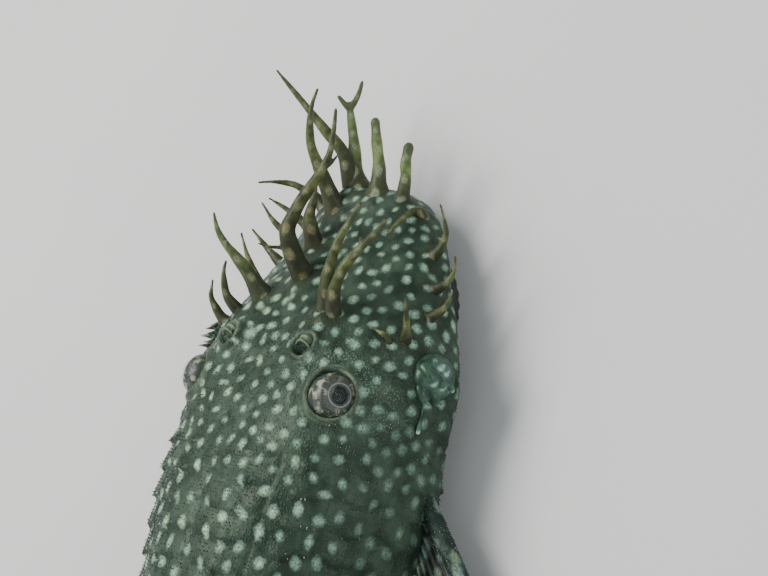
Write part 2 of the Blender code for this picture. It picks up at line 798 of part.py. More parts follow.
def make_cheek_spines(hand, name, solids, cutters):
    """Patch of hooked spines that stands out from the cheek."""
    station, side, height = CHEEK_PLACE
    long_half, out_half, tall_half = CHEEK_HALF
    centre = place(station, side * hand, height)
    patch = ball(name, Vector((0.0, 0.0, 0.0)), 1.0, solids, 14, 8)
    size = Matrix.Diagonal((long_half * MM, out_half * MM, tall_half * MM, 1.0))
    patch.data.transform(Matrix.Translation(centre) @ size)
    joined = new_collection("cheek_pieces", cutters)
    draw = random.Random(7 + hand)
    columns, rows = CHEEK_SPINES
    length, width = CHEEK_SPINE
    for i in range(columns):
        for j in range(rows):
            back = (i - 0.5 * (columns - 1)) * CHEEK_SPACING[0] + draw.uniform(-0.2, 0.2)
            up = (j - 0.5 * (rows - 1)) * CHEEK_SPACING[1] + draw.uniform(-0.2, 0.2)
            room = 1.0 - (back / long_half) ** 2 - (up / tall_half) ** 2
            if room < 0.12:
                continue
            out = out_half * math.sqrt(room)
            root = place(station + back, (side + out - 0.9) * hand, height + up)
            reach = length * draw.uniform(0.75, 1.15)
            lean = Vector((-0.18 * back, hand * 1.0, 0.22 * up)).normalized()
            bend = root + lean * (reach * 0.5 + 0.9) * MM
            tip = bend + (lean + Vector((-0.7, 0.0, 0.0))).normalized() * reach * 0.5 * MM
            knots = [root, bend, tip]
            taper_tube("spine", knots, [width, width * 0.75, 0.35], joined, 0)
    patch = boolean(patch, "UNION", joined, "EXACT", solids)
    clear(joined)
    guides = new_collection("cheek_guides", cutters)
    head_guide(guides)
    body_guide(guides)
    patch = boolean(patch, "DIFFERENCE", guides, "EXACT", solids)
    clear(guides)
    finish(patch, "spine")


def finish(made, finish_name):
    """Give a node its material and shade it smooth between its crisp edges."""
    made.data.materials.clear()
    made.data.materials.append(material(finish_name))
    made.data.shade_smooth()
    made.data.set_sharp_from_angle(angle=math.radians(38.0))


def main():
    for made in list(bpy.data.objects):
        bpy.data.objects.remove(made)
    solids = new_collection("bristlenose_pleco")
    cutters = new_collection("cutters")
    make_head(solids, cutters)
    make_trunk(solids)
    make_tail_stalk(solids)
    guides = new_collection("fin_guides", cutters)
    body_guide(guides)
    make_dorsal_fin(guides, solids)
    make_adipose_fin(guides, solids)
    make_anal_fin(guides, solids)
    for hand, word in ((1, "left"), (-1, "right")):
        make_eye(hand, "eye_" + word, solids)
        make_pectoral_fin(hand, "pectoral_fin_" + word, guides, solids)
        make_pelvic_fin(hand, "pelvic_fin_" + word, guides, solids)
        make_cheek_spines(hand, "cheek_spines_" + word, solids, cutters)
    clear(guides)
    make_caudal_fin(solids)
    make_mouth_disc(solids, cutters)


main()
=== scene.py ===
"""Looks of a life-size bristlenose pleco, an adult male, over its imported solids.

Most sizes are in millimetres in the fish's own measures: a station behind the snout tip,
a distance off the midline (left is positive) and a height above the floor. place() turns
them into metres in the shared frame, +X towards the snout and +Z up.
"""

import math
import random
from collections import namedtuple
from functools import partial

import bmesh
import bpy
import numpy as np
from mathutils import Matrix, Vector, kdtree, noise


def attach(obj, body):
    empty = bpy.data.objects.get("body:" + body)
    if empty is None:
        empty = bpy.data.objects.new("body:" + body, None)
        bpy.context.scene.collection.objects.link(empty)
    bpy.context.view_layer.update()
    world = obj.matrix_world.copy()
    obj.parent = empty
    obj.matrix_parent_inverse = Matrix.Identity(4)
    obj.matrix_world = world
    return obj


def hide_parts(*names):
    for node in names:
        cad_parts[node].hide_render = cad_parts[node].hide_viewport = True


bl_info = {
    "name": "Bristlenose pleco looks",
    "version": (1, 0, 0),
    "blender": (4, 5, 0),
    "location": "3D View > Sidebar > Pleco",
    "description": "Skin, tentacles, eyes, mouth, fins and stage of a life-size bristlenose pleco",
    "category": "Object",
}

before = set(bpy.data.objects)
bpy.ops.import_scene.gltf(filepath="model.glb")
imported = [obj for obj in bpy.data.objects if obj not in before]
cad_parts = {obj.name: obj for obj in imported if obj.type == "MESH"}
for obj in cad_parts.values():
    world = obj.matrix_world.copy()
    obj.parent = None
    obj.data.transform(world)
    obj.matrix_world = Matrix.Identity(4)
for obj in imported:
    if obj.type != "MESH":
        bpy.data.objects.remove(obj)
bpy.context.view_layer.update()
BODY = "root"
MM = 0.001
SIDES = ((1, "left"), (-1, "right"))

# Sockets and plain colours of shader groups
NUMBER = "NodeSocketFloat"
COLOUR = "NodeSocketColor"
BLACK = (0.0, 0.0, 0.0, 1.0)
WHITE = (1.0, 1.0, 1.0, 1.0)

# Body shape, as in the solids; a section is a station, half width, top, bottom and height of
# its widest place
REST_STATION = 42.0
HEAD_END = 28.5
STANDARD_LENGTH = 100.0
TAIL_SWEEP = 5.0
SWEEP_START = 45.0
BODY_SECTIONS = (
    (0.0, 0.0, 4.4, 4.4, 4.4),
    (0.5, 3.8, 6.2, 3.2, 4.4),
    (2.0, 6.9, 7.5, 2.6, 4.5),
    (5.0, 9.6, 8.8, 2.2, 4.7),
    (10.0, 12.0, 11.6, 2.0, 5.0),
    (16.0, 14.8, 15.2, 1.8, 5.4),
    (22.0, 16.0, 17.6, 1.4, 5.8),
    (29.0, 15.8, 19.4, 0.4, 6.2),
    (36.0, 15.2, 20.6, -0.3, 6.8),
    (46.0, 13.2, 21.0, -0.3, 7.6),
    (58.0, 10.0, 19.0, 0.3, 8.4),
    (70.0, 7.2, 16.6, 2.0, 8.8),
    (82.0, 4.8, 14.2, 3.6, 8.8),
    (92.0, 3.2, 13.4, 4.4, 8.8),
    (100.0, 2.4, 14.0, 4.4, 9.0),
)
SIDE_ROUNDNESS = 2.4
BACK_ROUNDNESS = 2.1
BELLY_FLATNESS = 3.0
SNOUT_HEIGHT = 4.4
STALK_HEIGHT = 9.2

# Bony plates
PLATES_START = 29.6
PLATE_PITCH = 2.9
KEEL_LIFT = 0.3
SEAM_DEPTH = 0.16
SEAM_HALF = 0.22
SEAM_ANGLES = (90.0, 63.0, 38.0, 13.0, -14.0, -48.0)
PLATE_BULGE = 0.8

# Skin mesh: spacing of its rings on the head and the body, and its sides above and below
SKIN_STEP = (0.2, 0.36)
SKIN_SIDES = (172, 76)
STALK_END_PINCH = 0.5
FLOOR_CLEARANCE = 0.02

# Eyes and nostrils
EYE_PLACE = (23.0, 10.4)
EYE_RADIUS = 2.5
EYE_SINK = 0.6
BALL_SHARE = 0.955
IRIS_EDGE = 0.84
PUPIL_DEPTH = 0.5
NOSTRIL_PLACE = (18.7, 5.6)
NOSTRIL_RADIUS = 1.4
NOSTRIL_PIT = 0.72
NOSTRIL_VOXEL = 0.07

# Folds of a nostril's flap: start ahead of the middle, height, radius and reach to each side
NOSTRIL_FOLDS = ((0.0, 0.95, 0.07, 1.05), (0.6, 0.75, 0.05, 0.95), (1.05, 0.55, 0.05, 1.05))

# Rise of the swelling under the left (1) and right (-1) nostril, and two pale spots beside the
# left one
NOSTRIL_SWELL = {1: 0.95, -1: 0.6}
NOSTRIL_SWELL_WIDTH = 2.3
NOSTRIL_PIT_DEPTH = 0.55
NOSTRIL_PIT_HALF = 0.55
NOSTRIL_SPOTS = ((18.3, 8.2), (18.2, 2.9))

# Grained swelling behind each cheek patch, and the grains between it and the gill
SWELLING_PLACE = (22.0, 14.3)
GILL_PLACE = (24.0, 14.6)

# Rings and domes on the skin: height in mm or strength of colour, distance from the middle
# and width
ORBIT_RIM = (0.6, 2.6, 0.5)
ORBIT_FOLD = (0.2, 4.3, 0.8)
# Painted highlights: a pale arc on each orbit's rim in patches, and a wider ring in the gaps between
# them, stand in for wet highlights
ORBIT_HIGHLIGHT = (0.9, 2.48, 0.14)
ORBIT_HIGHLIGHT_GAPS = (0.45, 2.95, 0.12)
ORBIT_GRAINS = (1.0, 3.9, 1.0)
NOSTRIL_RING = (0.42, NOSTRIL_RADIUS, 0.34)
NOSTRIL_DIP = (-0.15, 0.0, 0.95)
# Painted highlight: a pale ring on each nostril's rim
NOSTRIL_HIGHLIGHT = (0.8, NOSTRIL_RADIUS, 0.13)
CHEEK_FOLD = (0.2, 3.9, 0.9)
SWELLING = (0.5, 0.0, 1.3)
SWELLING_PALE = (0.14, 0.0, 1.25)
SWELLING_GRAINS = (1.0, 0.0, 1.6)
GILL_GRAINS = (1.0, 0.0, 2.2)

# Where a form starts: distances at which it begins and is whole
ORBIT_GRAINS_START = (-0.5, 1.8)
CHEEK_FOLD_START = (2.4, 3.2)

# Along the body: end of the soft creased skin, bands in which the dorsal fin's base rises and
# the brow is hollow, and the gill slit
FLESH_END = (26.0, 31.0)
DORSAL_BASE = (44.5, 47.0, 68.5, 71.5)
BROW_HOLLOW = (19.0, 22.0, 27.0, 30.0)
GILL_SLIT = 27.3

# Hollow of an orbit: where its wall starts and ends, and its depth
ORBIT_WALL = (2.0, 2.42)
ORBIT_DEPTH = 0.9

# Pale spots: share that has a twin, how sharply near ones stay apart, and distance of none
TWIN_SPOTS = 0.03
SPOT_JOIN = 6.0
NO_SPOT = 9.0

# Seeds of the random draws
SEED_SPREAD = 11
SEED_SPOTS = 12
SEED_TEETH = 21
SEED_CHEEKS = 31
SEED_TENTACLES = 40
SEED_FINS = 60
SEED_TAIL = 80

# Snout tentacles: root station and side; bow and tip station, side and height; width at the
# root; and the tint, from 0 for brown to 1 for blue grey
Tentacle = namedtuple("Tentacle", "root bow tip width tint")
TENTACLES = {
    "nostril_left": Tentacle(
        (14.0, 5.3), (10.5, 5.5, 16.5), (7.0, 8.0, 20.5), 2.3, 0.28),
    "nostril_right_inner": Tentacle(
        (15.5, -5.5), (9.5, -8.5, 17.0), (4.0, -10.0, 17.0), 1.9, 0.15),
    "nostril_right_outer": Tentacle(
        (15.5, -6.5), (10.5, -9.5, 16.5), (5.5, -12.0, 14.5), 1.9, 0.15),
    "middle_back": Tentacle(
        (11.5, 1.0), (2.5, -0.5, 17.8), (-5.5, -3.5, 16.5), 2.5, 0.0),
    "middle": Tentacle((8.0, 3.0), (5.0, 3.0, 12.0), (1.5, 2.0, 12.5), 2.7, 0.0),
    "middle_front": Tentacle((3.5, 3.5), (-2.0, 5.0, 13.5), (-8.5, 3.0, 14.0), 2.3, 0.15),
    "lip_left_long": Tentacle(
        (1.0, 3.0), (-5.5, 4.5, 9.0), (-10.5, 9.5, 15.0), 2.2, 0.15),
    "lip_left": Tentacle(
        (0.9, 2.2), (-4.5, 4.5, 7.0), (-8.5, 5.0, 8.0), 2.35, 0.42),
    "lip_middle": Tentacle((0.9, -0.8), (-3.0, -0.5, 7.4), (-6.5, -0.5, 8.0), 1.8, 0.46),
    "lip_right": Tentacle((1.4, -4.5), (-2.0, -5.5, 6.8), (-4.5, -5.5, 7.5), 1.45, 0.46),
    "rim_right_arch": Tentacle((2.9, -7.5), (0.0, -9.0, 9.0), (5.5, -5.0, 9.5), 1.0, 0.1),
    "rim_right_second": Tentacle((7.0, -10.4), (5.5, -12.5, 5.6), (2.0, -11.5, 7.5), 1.4, 0.15),
    "rim_right_third": Tentacle(
        (10.5, -11.9), (10.0, -14.5, 6.0), (7.0, -14.5, 7.0), 1.4, 0.15),
    "rim_right_fourth": Tentacle(
        (13.5, -13.3), (12.5, -15.5, 7.2), (10.5, -15.5, 7.5), 1.4, 0.15),
    "cheek_right": Tentacle((16.5, -13.5), (15.0, -15.0, 12.0), (12.5, -15.0, 13.0), 1.5, 0.0),
    "cheek_right_inner": Tentacle(
        (17.0, -13.0), (16.0, -12.4, 12.6), (15.6, -11.0, 12.8), 1.1, 0.2),
    "cheek_left": Tentacle((17.0, 12.0), (15.5, 13.8, 14.0), (12.8, 13.5, 14.2), 1.5, 0.12),
    "snout_left": Tentacle((15.8, 8.5), (14.0, 9.5, 16.5), (11.0, 9.0, 16.5), 1.5, 0.12),
    "rim_left_fifth": Tentacle((12.5, 12.6), (10.0, 16.0, 7.6), (6.5, 17.5, 8.6), 1.5, 0.12),
    "rim_left_fourth": Tentacle((9.5, 11.4), (8.0, 13.8, 7.2), (6.0, 15.5, 8.8), 1.5, 0.12),
    "rim_left_third": Tentacle((7.2, 10.4), (5.5, 13.0, 7.3), (3.0, 15.0, 8.6), 1.5, 0.12),
    "rim_left_second": Tentacle((5.0, 9.0), (3.5, 11.5, 6.8), (2.5, 13.5, 9.0), 1.5, 0.12),
    "rim_left_first": Tentacle((3.0, 7.4), (0.6, 10.5, 7.4), (1.2, 13.6, 10.8), 1.6, 0.1),
}
STEM_POINTS = 40
TENTACLE_TIP = 0.3
TENTACLE_END = 0.14
TENTACLE_ROOT_DEPTH = 2.0
TENTACLE_FLARE = 0.2
TENTACLE_SINK = 0.4
FORK_WIDTH = 0.5
TENTACLE_VOXEL = 0.12

# Blunt tentacles: the width that is left at the tip, as a share of the root's
TENTACLE_ENDS = {
    "lip_left": 0.3, "lip_middle": 0.58, "lip_right": 0.8, "nostril_right_inner": 0.26,
    "nostril_right_outer": 0.26, "rim_right_arch": 0.35, "snout_left": 0.2,
}

# Roots that widen more: the growth at the skin, as a share of the width
TENTACLE_FLARES = {
    "lip_left": 0.6, "lip_middle": 0.8, "lip_right": 0.4, "middle_front": 0.4, "nostril_left": 0.3,
    "rim_right_arch": 0.6,
}

# Waved stems: points past the root, each a station, side and height
TENTACLE_PATHS = {
    "middle_back": (
        (8.8, 1.1, 14.9), (7.2, 1.0, 15.9), (5.4, 0.2, 16.1), (3.8, -0.6, 16.1),
        (2.5, -1.4, 16.0), (0.7, -2.3, 15.8), (-0.9, -2.9, 15.8), (-2.9, -3.2, 16.1),
        (-5.3, -3.4, 16.6)),
    "middle_front": (
        (0.7, 3.7, 10.0), (-0.9, 3.9, 11.3), (-2.5, 4.1, 12.5), (-4.3, 4.0, 13.3),
        (-6.3, 3.7, 13.9), (-8.2, 3.1, 14.1)),
    "lip_left_long": (
        (-0.7, 3.4, 7.1), (-3.2, 4.1, 8.3), (-4.8, 5.4, 9.8), (-6.4, 6.6, 11.3),
        (-8.1, 7.9, 12.9), (-10.1, 9.4, 14.9)),
    "nostril_right_inner": (
        (12.9, -6.0, 15.4), (11.0, -7.0, 16.3), (9.0, -8.0, 16.9), (7.5, -8.7, 17.1),
        (6.2, -9.3, 17.0), (4.2, -10.1, 16.8)),
    "nostril_right_outer": (
        (12.8, -7.2, 15.3), (10.1, -8.9, 15.9), (9.0, -9.8, 15.8), (7.6, -10.7, 15.4),
        (6.2, -11.5, 14.9), (5.4, -11.9, 14.7)),
    "lip_left": ((-1.8, 3.3, 6.7), (-4.1, 3.9, 6.9), (-6.3, 4.5, 7.3), (-8.4, 4.9, 7.9)),
    "lip_middle": ((-1.8, -0.8, 7.0), (-3.9, -0.5, 7.6), (-6.4, -0.2, 8.3)),
    "lip_right": ((-0.9, -5.0, 6.9), (-2.4, -5.1, 7.4), (-3.9, -5.3, 7.6)),
    "rim_left_first": (
        (1.7, 8.6, 6.6), (1.1, 9.8, 7.4), (0.7, 10.8, 8.1), (0.7, 12.0, 9.1), (0.9, 12.9, 10.0),
        (1.2, 13.6, 10.8)),
    "nostril_left": (
        (12.9, 5.6, 14.8), (11.6, 6.0, 16.1), (10.4, 6.6, 17.5), (9.4, 7.2, 18.6),
        (8.3, 7.6, 19.5), (6.7, 7.8, 20.3)),
    "rim_right_arch": (
        (2.4, -7.3, 5.9), (2.5, -7.15, 6.6), (3.7, -7.05, 8.0), (5.0, -6.75, 8.9),
        (5.8, -6.5, 9.2)),
}

# Finer forks than the solids': share of the length, direction ahead, left and up, and length
TENTACLE_FORKS = {
    "lip_left": ((0.97, (0.93, -0.31, -0.2), 3.3), (0.97, (0.45, 0.55, 0.7), 1.9)),
    "middle_back": ((0.22, (-0.34, 0.65, 0.65), 3.4), (0.69, (0.77, -0.49, -0.41), 2.2)),
    "nostril_left": ((0.66, (0.3, -0.6, 0.5), 0.9), (0.5, (-0.2, 0.9, 0.3), 0.7)),
    "lip_left_long": ((0.42, (0.49, 0.55, 0.67), 2.9),),
    "nostril_right_outer": ((0.7, (0.9, 0.1, 0.3), 1.2),),
    "nostril_right_inner": ((0.86, (0.6, -0.5, 0.4), 0.7),),
}

# Cheek patches: place in the skin, then the swollen dome with its centre and half sizes, and
# its fingers, each from one point to another behind, outward and above the centre, with a radius
CHEEK_PLACE = (19.8, 14.6, 7.8)
CHEEK_DOME = (19.3, 15.2, 7.4)
CHEEK_HALVES = (2.5, 1.9, 2.4)
CHEEK_VOXEL = 0.1
CHEEK_FINGERS = (
    ((-0.9, 0.3, 2.0), (0.6, 1.65, 1.3), 0.6), ((-1.75, 0.8, 1.1), (-1.1, 1.7, 0.8), 0.34),
    ((-1.4, 1.3, 0.3), (-0.7, 1.95, 0.1), 0.33), ((0.1, 1.3, 0.7), (0.85, 1.95, 0.15), 0.42),
    ((0.2, 1.3, -0.6), (1.0, 1.85, -1.2), 0.3), ((1.2, 0.1, 1.8), (2.65, 0.5, 0.9), 0.52),
    ((1.3, 0.8, 0.8), (2.5, 1.15, -0.1), 0.5),
)

# Sucker mouth under the head; a barbel is a station, side, length and width
MOUTH_STATION = 12.8
MOUTH_HALF = (8.6, 10.2)
MOUTH_RIM = (0.87, 0.95)
MOUTH_HOLLOW = 0.55
MOUTH_EDGE = 0.55
PAPILLA_ROWS = 22.0
PAPILLA_BAND = (0.08, 0.2, 0.9, 0.96)
BARBEL = (17.2, 10.4, 3.4, 1.0)

# Fins: number of rays, root and tip of the first and last ray, bow of all rays, swell of the
# edge and half thickness of the web
Fin = namedtuple("Fin", "rays first last bow swell web")
FINS = {
    "dorsal_fin": Fin(
        8, ((46.0, 0.0, 19.5), (57.0, 0.0, 38.5)), ((68.5, 0.0, 15.5), (80.0, 0.0, 21.5)),
        (0.9, 0.0, 0.5), 0.1, 0.13),
    "adipose_fin": Fin(
        3, ((84.0, 0.0, 12.4), (90.5, 0.0, 19.4)), ((92.0, 0.0, 12.2), (94.5, 0.0, 14.9)),
        (0.4, 0.0, 0.2), 0.0, 0.16),
    "anal_fin": Fin(
        5, ((73.5, 0.0, 3.4), (86.0, 0.0, 0.75)), ((78.0, 0.0, 4.4), (87.5, 0.0, 2.7)),
        (0.3, 0.0, -0.2), 0.0, 0.12),
    "pectoral_fin": Fin(
        7, ((30.4, 13.4, 4.8), (54.5, 34.5, 1.8)), ((35.5, 13.0, 3.6), (53.0, 17.6, 1.3)),
        (0.0, 1.0, 0.5), 0.12, 0.13),
    "pelvic_fin": Fin(
        6, ((52.5, 8.5, 2.6), (70.5, 22.5, 1.2)), ((57.0, 7.5, 2.3), (71.5, 9.6, 0.9)),
        (0.0, 0.8, 0.3), 0.1, 0.13),
}
FIN_COLUMNS = 22
FIN_ROWS = 70
RAY_HALF = 0.42
FIN_ROOT_SINK = 1.2

# Fin spines: radius at the root, and skin teeth for each mm
SPINES = {
    "dorsal_fin": (0.8, 9.0), "adipose_fin": (0.6, 8.0), "anal_fin": (0.4, 5.0),
    "pectoral_fin": (1.08, 12.0), "pelvic_fin": (0.72, 8.0), "caudal_fin": (0.62, 8.0),
}
TAIL_RAYS = 14
TAIL_WEB = 0.13
SPINE_REACH = 0.985
SPINE_POINTS = 72

# The camera: the photo's framing, from the fish's right rear and above
CAMERA_PLACE = (0.0115, -0.1505, 0.1411)
CAMERA_FORWARD = (0.099, 0.731, -0.675)
CAMERA_UP = (0.975, 0.065, 0.214)
CAMERA_LENS = 91.3
LIGHTS_AIM = (0.015, 0.0, 0.008)


def steady_slopes(xs, ys):
    """Slopes of a smooth curve that never overshoots its points."""
    steps = np.diff(xs)
    rises = np.diff(ys) / steps
    slopes = [rises[0]]
    for before, after, h0, h1 in zip(rises, rises[1:], steps, steps[1:]):
        if before * after <= 0.0:
            slopes.append(0.0)
            continue
        w0 = 2.0 * h1 + h0
        w1 = h1 + 2.0 * h0
        slopes.append((w0 + w1) / (w0 / before + w1 / after))
    slopes.append(rises[-1])
    return np.array(slopes)


class Track:
    """One size of the body along its length, smooth over the root of the station."""

    def __init__(self, column):
        self.xs = np.sqrt(np.array([row[0] for row in BODY_SECTIONS]))
        self.ys = np.array([row[column] for row in BODY_SECTIONS])
        self.slopes = steady_slopes(self.xs, self.ys)

    def __call__(self, station):
        """The size in mm at each station."""
        x = np.minimum(np.sqrt(np.maximum(station, 0.0)), self.xs[-1])
        k = np.clip(np.searchsorted(self.xs, x, side="right") - 1, 0, len(self.xs) - 2)
        h = self.xs[k + 1] - self.xs[k]
        t = (x - self.xs[k]) / h
        rise = self.ys[k + 1] - self.ys[k]
        bend = t * (1.0 - t) * h
        lean = self.slopes[k] * (1.0 - t) - self.slopes[k + 1] * t
        return self.ys[k] + rise * t * t * (3.0 - 2.0 * t) + bend * lean


HALF_WIDTH = Track(1)
TOP = Track(2)
BOTTOM = Track(3)
WIDEST = Track(4)


def place(station, side, height):
    """World points in metres; the tail sweeps a little to the left."""
    station, side, height = np.broadcast_arrays(station, side, height)
    past = np.maximum(station - SWEEP_START, 0.0) / (STANDARD_LENGTH - SWEEP_START)
    across = side + TAIL_SWEEP * past * past
    return np.stack([REST_STATION - station, across, height], axis=-1) * MM


def section_point(station, degrees):
    """Side and height of the bare skin; 0 degrees is the left edge and 90 the back."""
    half = HALF_WIDTH(station)
    widest = WIDEST(station)
    across = np.cos(np.radians(degrees))
    up = np.sin(np.radians(degrees))
    above = up >= 0.0
    power = np.where(above, 2.0 / SIDE_ROUNDNESS, 2.0 / BELLY_FLATNESS)
    side = np.sign(across) * np.abs(across) ** power * half
    rise = (TOP(station) - widest) * np.abs(up) ** (2.0 / BACK_ROUNDNESS)
    drop = (widest - BOTTOM(station)) * np.abs(up) ** (2.0 / BELLY_FLATNESS)
    return side, np.where(above, widest + rise, widest - drop)


def back_height(station, side):
    """Height of the upper skin at a distance off the midline."""
    share = np.minimum(np.abs(side) / HALF_WIDTH(station), 1.0)
    up = np.sqrt(1.0 - share ** SIDE_ROUNDNESS)
    return WIDEST(station) + (TOP(station) - WIDEST(station)) * up ** (2.0 / BACK_ROUNDNESS)


def belly_height(station, side):
    """Height of the lower skin at a distance off the midline."""
    share = np.minimum(np.abs(side) / HALF_WIDTH(station), 1.0)
    up = (1.0 - share ** BELLY_FLATNESS) ** (1.0 / BELLY_FLATNESS)
    return WIDEST(station) - (WIDEST(station) - BOTTOM(station)) * up


def back_normal(station, side):
    """Outward direction of the upper skin, in world axes."""
    step = 0.25
    side = math.copysign(min(abs(side), float(HALF_WIDTH(station)) * 0.985), side)
    fore = (back_height(station - step, side) - back_height(station + step, side)) / (2.0 * step)
    across = (back_height(station, side + step) - back_height(station, side - step)) / (2.0 * step)
    return Vector((-float(fore), -float(across), 1.0)).normalized()


def back_place(station, side):
    """World point of the upper skin, as a Vector."""
    return Vector(place(station, side, back_height(station, side)))


def bell(distance, width):
    """Soft bump: 1 at no distance, fading out over a width."""
    return np.exp(-((distance / width) ** 2))


def ease(value, low, high):
    """0 below low, 1 above high and smooth between."""
    t = np.clip((value - low) / (high - low), 0.0, 1.0)
    return t * t * (3.0 - 2.0 * t)


def away_mm(points, spot):
    """Distance in mm of each point from one spot, all in metres."""
    return np.linalg.norm(points - np.array(spot), axis=1) / MM


def ring(away, form):
    """Height or strength of a ring at distances from its middle; a dome is a ring of no radius."""
    strength, distance, width = form
    return strength * bell(away - distance, width)


def band(value, start, full, fade, end):
    """1 between full and fade, and smoothly down to 0 at start and at end."""
    return ease(value, start, full) * (1.0 - ease(value, fade, end))


def on_side(spot, hand):
    """Place on the upper skin for a station and side; hand is 1 for left and -1 for right."""
    return back_place(spot[0], spot[1] * hand)


def rough_field(points, scale, seed):
    """Smooth random number from -1 to 1 at each world point; scale is in bumps a metre."""
    shift = Vector((seed * 3.1, seed * 1.7, seed * 2.3))
    return np.array([noise.noise(Vector(p) * scale + shift) for p in points])


def spread_points(points, spacing, seed):
    """Indices of points picked at random that keep their own spacing, in metres."""
    order = list(range(len(points)))
    random.Random(seed).shuffle(order)
    largest = float(np.max(spacing))
    cells = {}
    kept = []
    for index in order:
        gap = float(spacing[index])
        if gap <= 0.0:
            continue
        point = points[index]
        key = tuple(int(math.floor(c / largest)) for c in point)
        near = (
            other
            for dx in (-1, 0, 1) for dy in (-1, 0, 1) for dz in (-1, 0, 1)
            for other in cells.get((key[0] + dx, key[1] + dy, key[2] + dz), ()))
        if any(np.dot(point - points[o], point - points[o]) < gap * gap for o in near):
            continue
        cells.setdefault(key, []).append(index)
        kept.append(index)
    return kept


Spot = namedtuple("Spot", "place along across long wide tone")


def make_spots(points, normals, picked, sizes, seed, stretches):
    """Spots at picked points, round to oblong, lying roughly along the fish or across it."""
    draw = random.Random(seed)
    ahead = Vector((1.0, 0.0, 0.0))
    spots = []
    for index in picked:
        here = Vector(points[index])
        normal = Vector(normals[index]).normalized()
        turn = draw.gauss(0.0, 0.5)
        along = ahead - normal * normal.dot(ahead)
        along = Matrix.Rotation(turn, 3, normal) @ along.normalized()
        across = normal.cross(along).normalized()
        oblong = float(stretches[index]) * math.exp(draw.gauss(0.0, 0.2))
        radius = float(sizes[index]) * draw.uniform(0.8, 1.18)
        tone = draw.uniform(0.0, 1.0)
        spots.append(Spot(here, along, across, radius * oblong ** 0.5, radius / oblong ** 0.5, tone))
        if draw.random() < TWIN_SPOTS:
            twin = here + along * radius * 1.75
            spots.append(Spot(twin, along, across, radius * 0.8, radius * 0.75, tone))
    return spots


def spot_field(points, spots):
    """Signed distance in mm from the border of the nearest spot, and that spot's tone."""
    tree = kdtree.KDTree(len(spots))
    for index, spot in enumerate(spots):
        tree.insert(spot.place, index)
    tree.balance()
    distances = np.full(len(points), NO_SPOT)
    tones = np.zeros(len(points))
    for row, point in enumerate(points):
        here = Vector(point)
        joined = 0.0
        nearest = NO_SPOT
        for _, index, _ in tree.find_n(here, 3):
            spot = spots[index]
            away = here - spot.place
            u = away.dot(spot.along) / spot.long
            v = away.dot(spot.across) / spot.wide
            w2 = max(away.length_squared - (u * spot.long) ** 2 - (v * spot.wide) ** 2, 0.0)
            size = 0.5 * (spot.long + spot.wide)
            reach = (math.sqrt(u * u + v * v + w2 / (size * size)) - 1.0) * size / MM
            joined += math.exp(-SPOT_JOIN * min(reach, 20.0))
            if reach < nearest:
                nearest = reach
                tones[row] = spot.tone
        distances[row] = -math.log(max(joined, 1e-12)) / SPOT_JOIN
    return distances, tones


def new_piece(name, points, faces, material):
    """Smooth-shaded object over points and faces, with its faces turned out."""
    mesh = bpy.data.meshes.new(name)
    mesh.from_pydata(np.asarray(points).tolist(), [], faces)
    mesh.update()
    if signed_volume(mesh) < 0.0:
        mesh.flip_normals()
    mesh.shade_smooth()
    mesh.materials.append(material)
    piece = bpy.data.objects.new(name, mesh)
    bpy.context.scene.collection.objects.link(piece)
    return piece


def signed_volume(mesh):
    """Volume inside a closed mesh; negative if its faces point in."""
    mesh.calc_loop_triangles()
    corners = np.zeros(len(mesh.loop_triangles) * 3, np.int32)
    mesh.loop_triangles.foreach_get("vertices", corners)
    spots = mesh_points(mesh)[corners].reshape(-1, 3, 3)
    return float(np.einsum("ij,ij->i", spots[:, 0], np.cross(spots[:, 1], spots[:, 2])).sum())


def mesh_points(mesh):
    """Points of a mesh as rows of an array."""
    spots = np.zeros(len(mesh.vertices) * 3)
    mesh.vertices.foreach_get("co", spots)
    return spots.reshape(-1, 3)


def mesh_normals(mesh):
    """Outward directions at the points of a mesh."""
    spots = np.zeros(len(mesh.vertices) * 3)
    mesh.vertices.foreach_get("normal", spots)
    return spots.reshape(-1, 3)


def store(piece, name, values):
    """Keep one number for each point of a piece, for its material to read."""
    layer = piece.data.attributes.new(name, "FLOAT", "POINT")
    layer.data.foreach_set("value", np.asarray(values, np.float32))


def finish_piece(piece, slot, *nodes):
    """Ride on the body and stand for the nodes given, which are hidden; slot is not used."""
    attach(piece, BODY)
    if nodes:
        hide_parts(*nodes)


def select_only(*pieces):
    """Select the pieces given and nothing else."""
    bpy.ops.object.select_all(action="DESELECT")
    for piece in pieces:
        piece.select_set(True)
        bpy.context.view_layer.objects.active = piece


def fuse(piece, voxel, material):
    """Melt a piece's overlapping parts into one closed skin and smooth it."""
    select_only(piece)
    melt = piece.modifiers.new("melt", "REMESH")
    melt.mode = "VOXEL"
    melt.voxel_size = voxel * MM
    soften = piece.modifiers.new("soften", "SMOOTH")
    soften.factor = 0.5
    soften.iterations = 3
    bpy.ops.object.modifier_apply(modifier="melt")
    bpy.ops.object.modifier_apply(modifier="soften")
    piece.data.materials.clear()
    piece.data.materials.append(material)
    piece.data.shade_smooth()


def ring_faces(rings, sides):
    """Faces between closed rings of points, side by side along each ring."""
    faces = []
    for a in range(0, (rings - 1) * sides, sides):
        b = a + sides
        for j in range(sides):
            k = (j + 1) % sides
            faces.append((a + j, a + k, b + k, b + j))
    return faces


def capped_faces(rings, sides):
    """Faces of closed rings, and of the fans from both end rings to two last points."""
    faces = ring_faces(rings, sides)
    first = rings * sides
    last = first - sides
    for j in range(sides):
        k = (j + 1) % sides
        faces.append((first, k, j))
        faces.append((first + 1, last + j, last + k))
    return faces


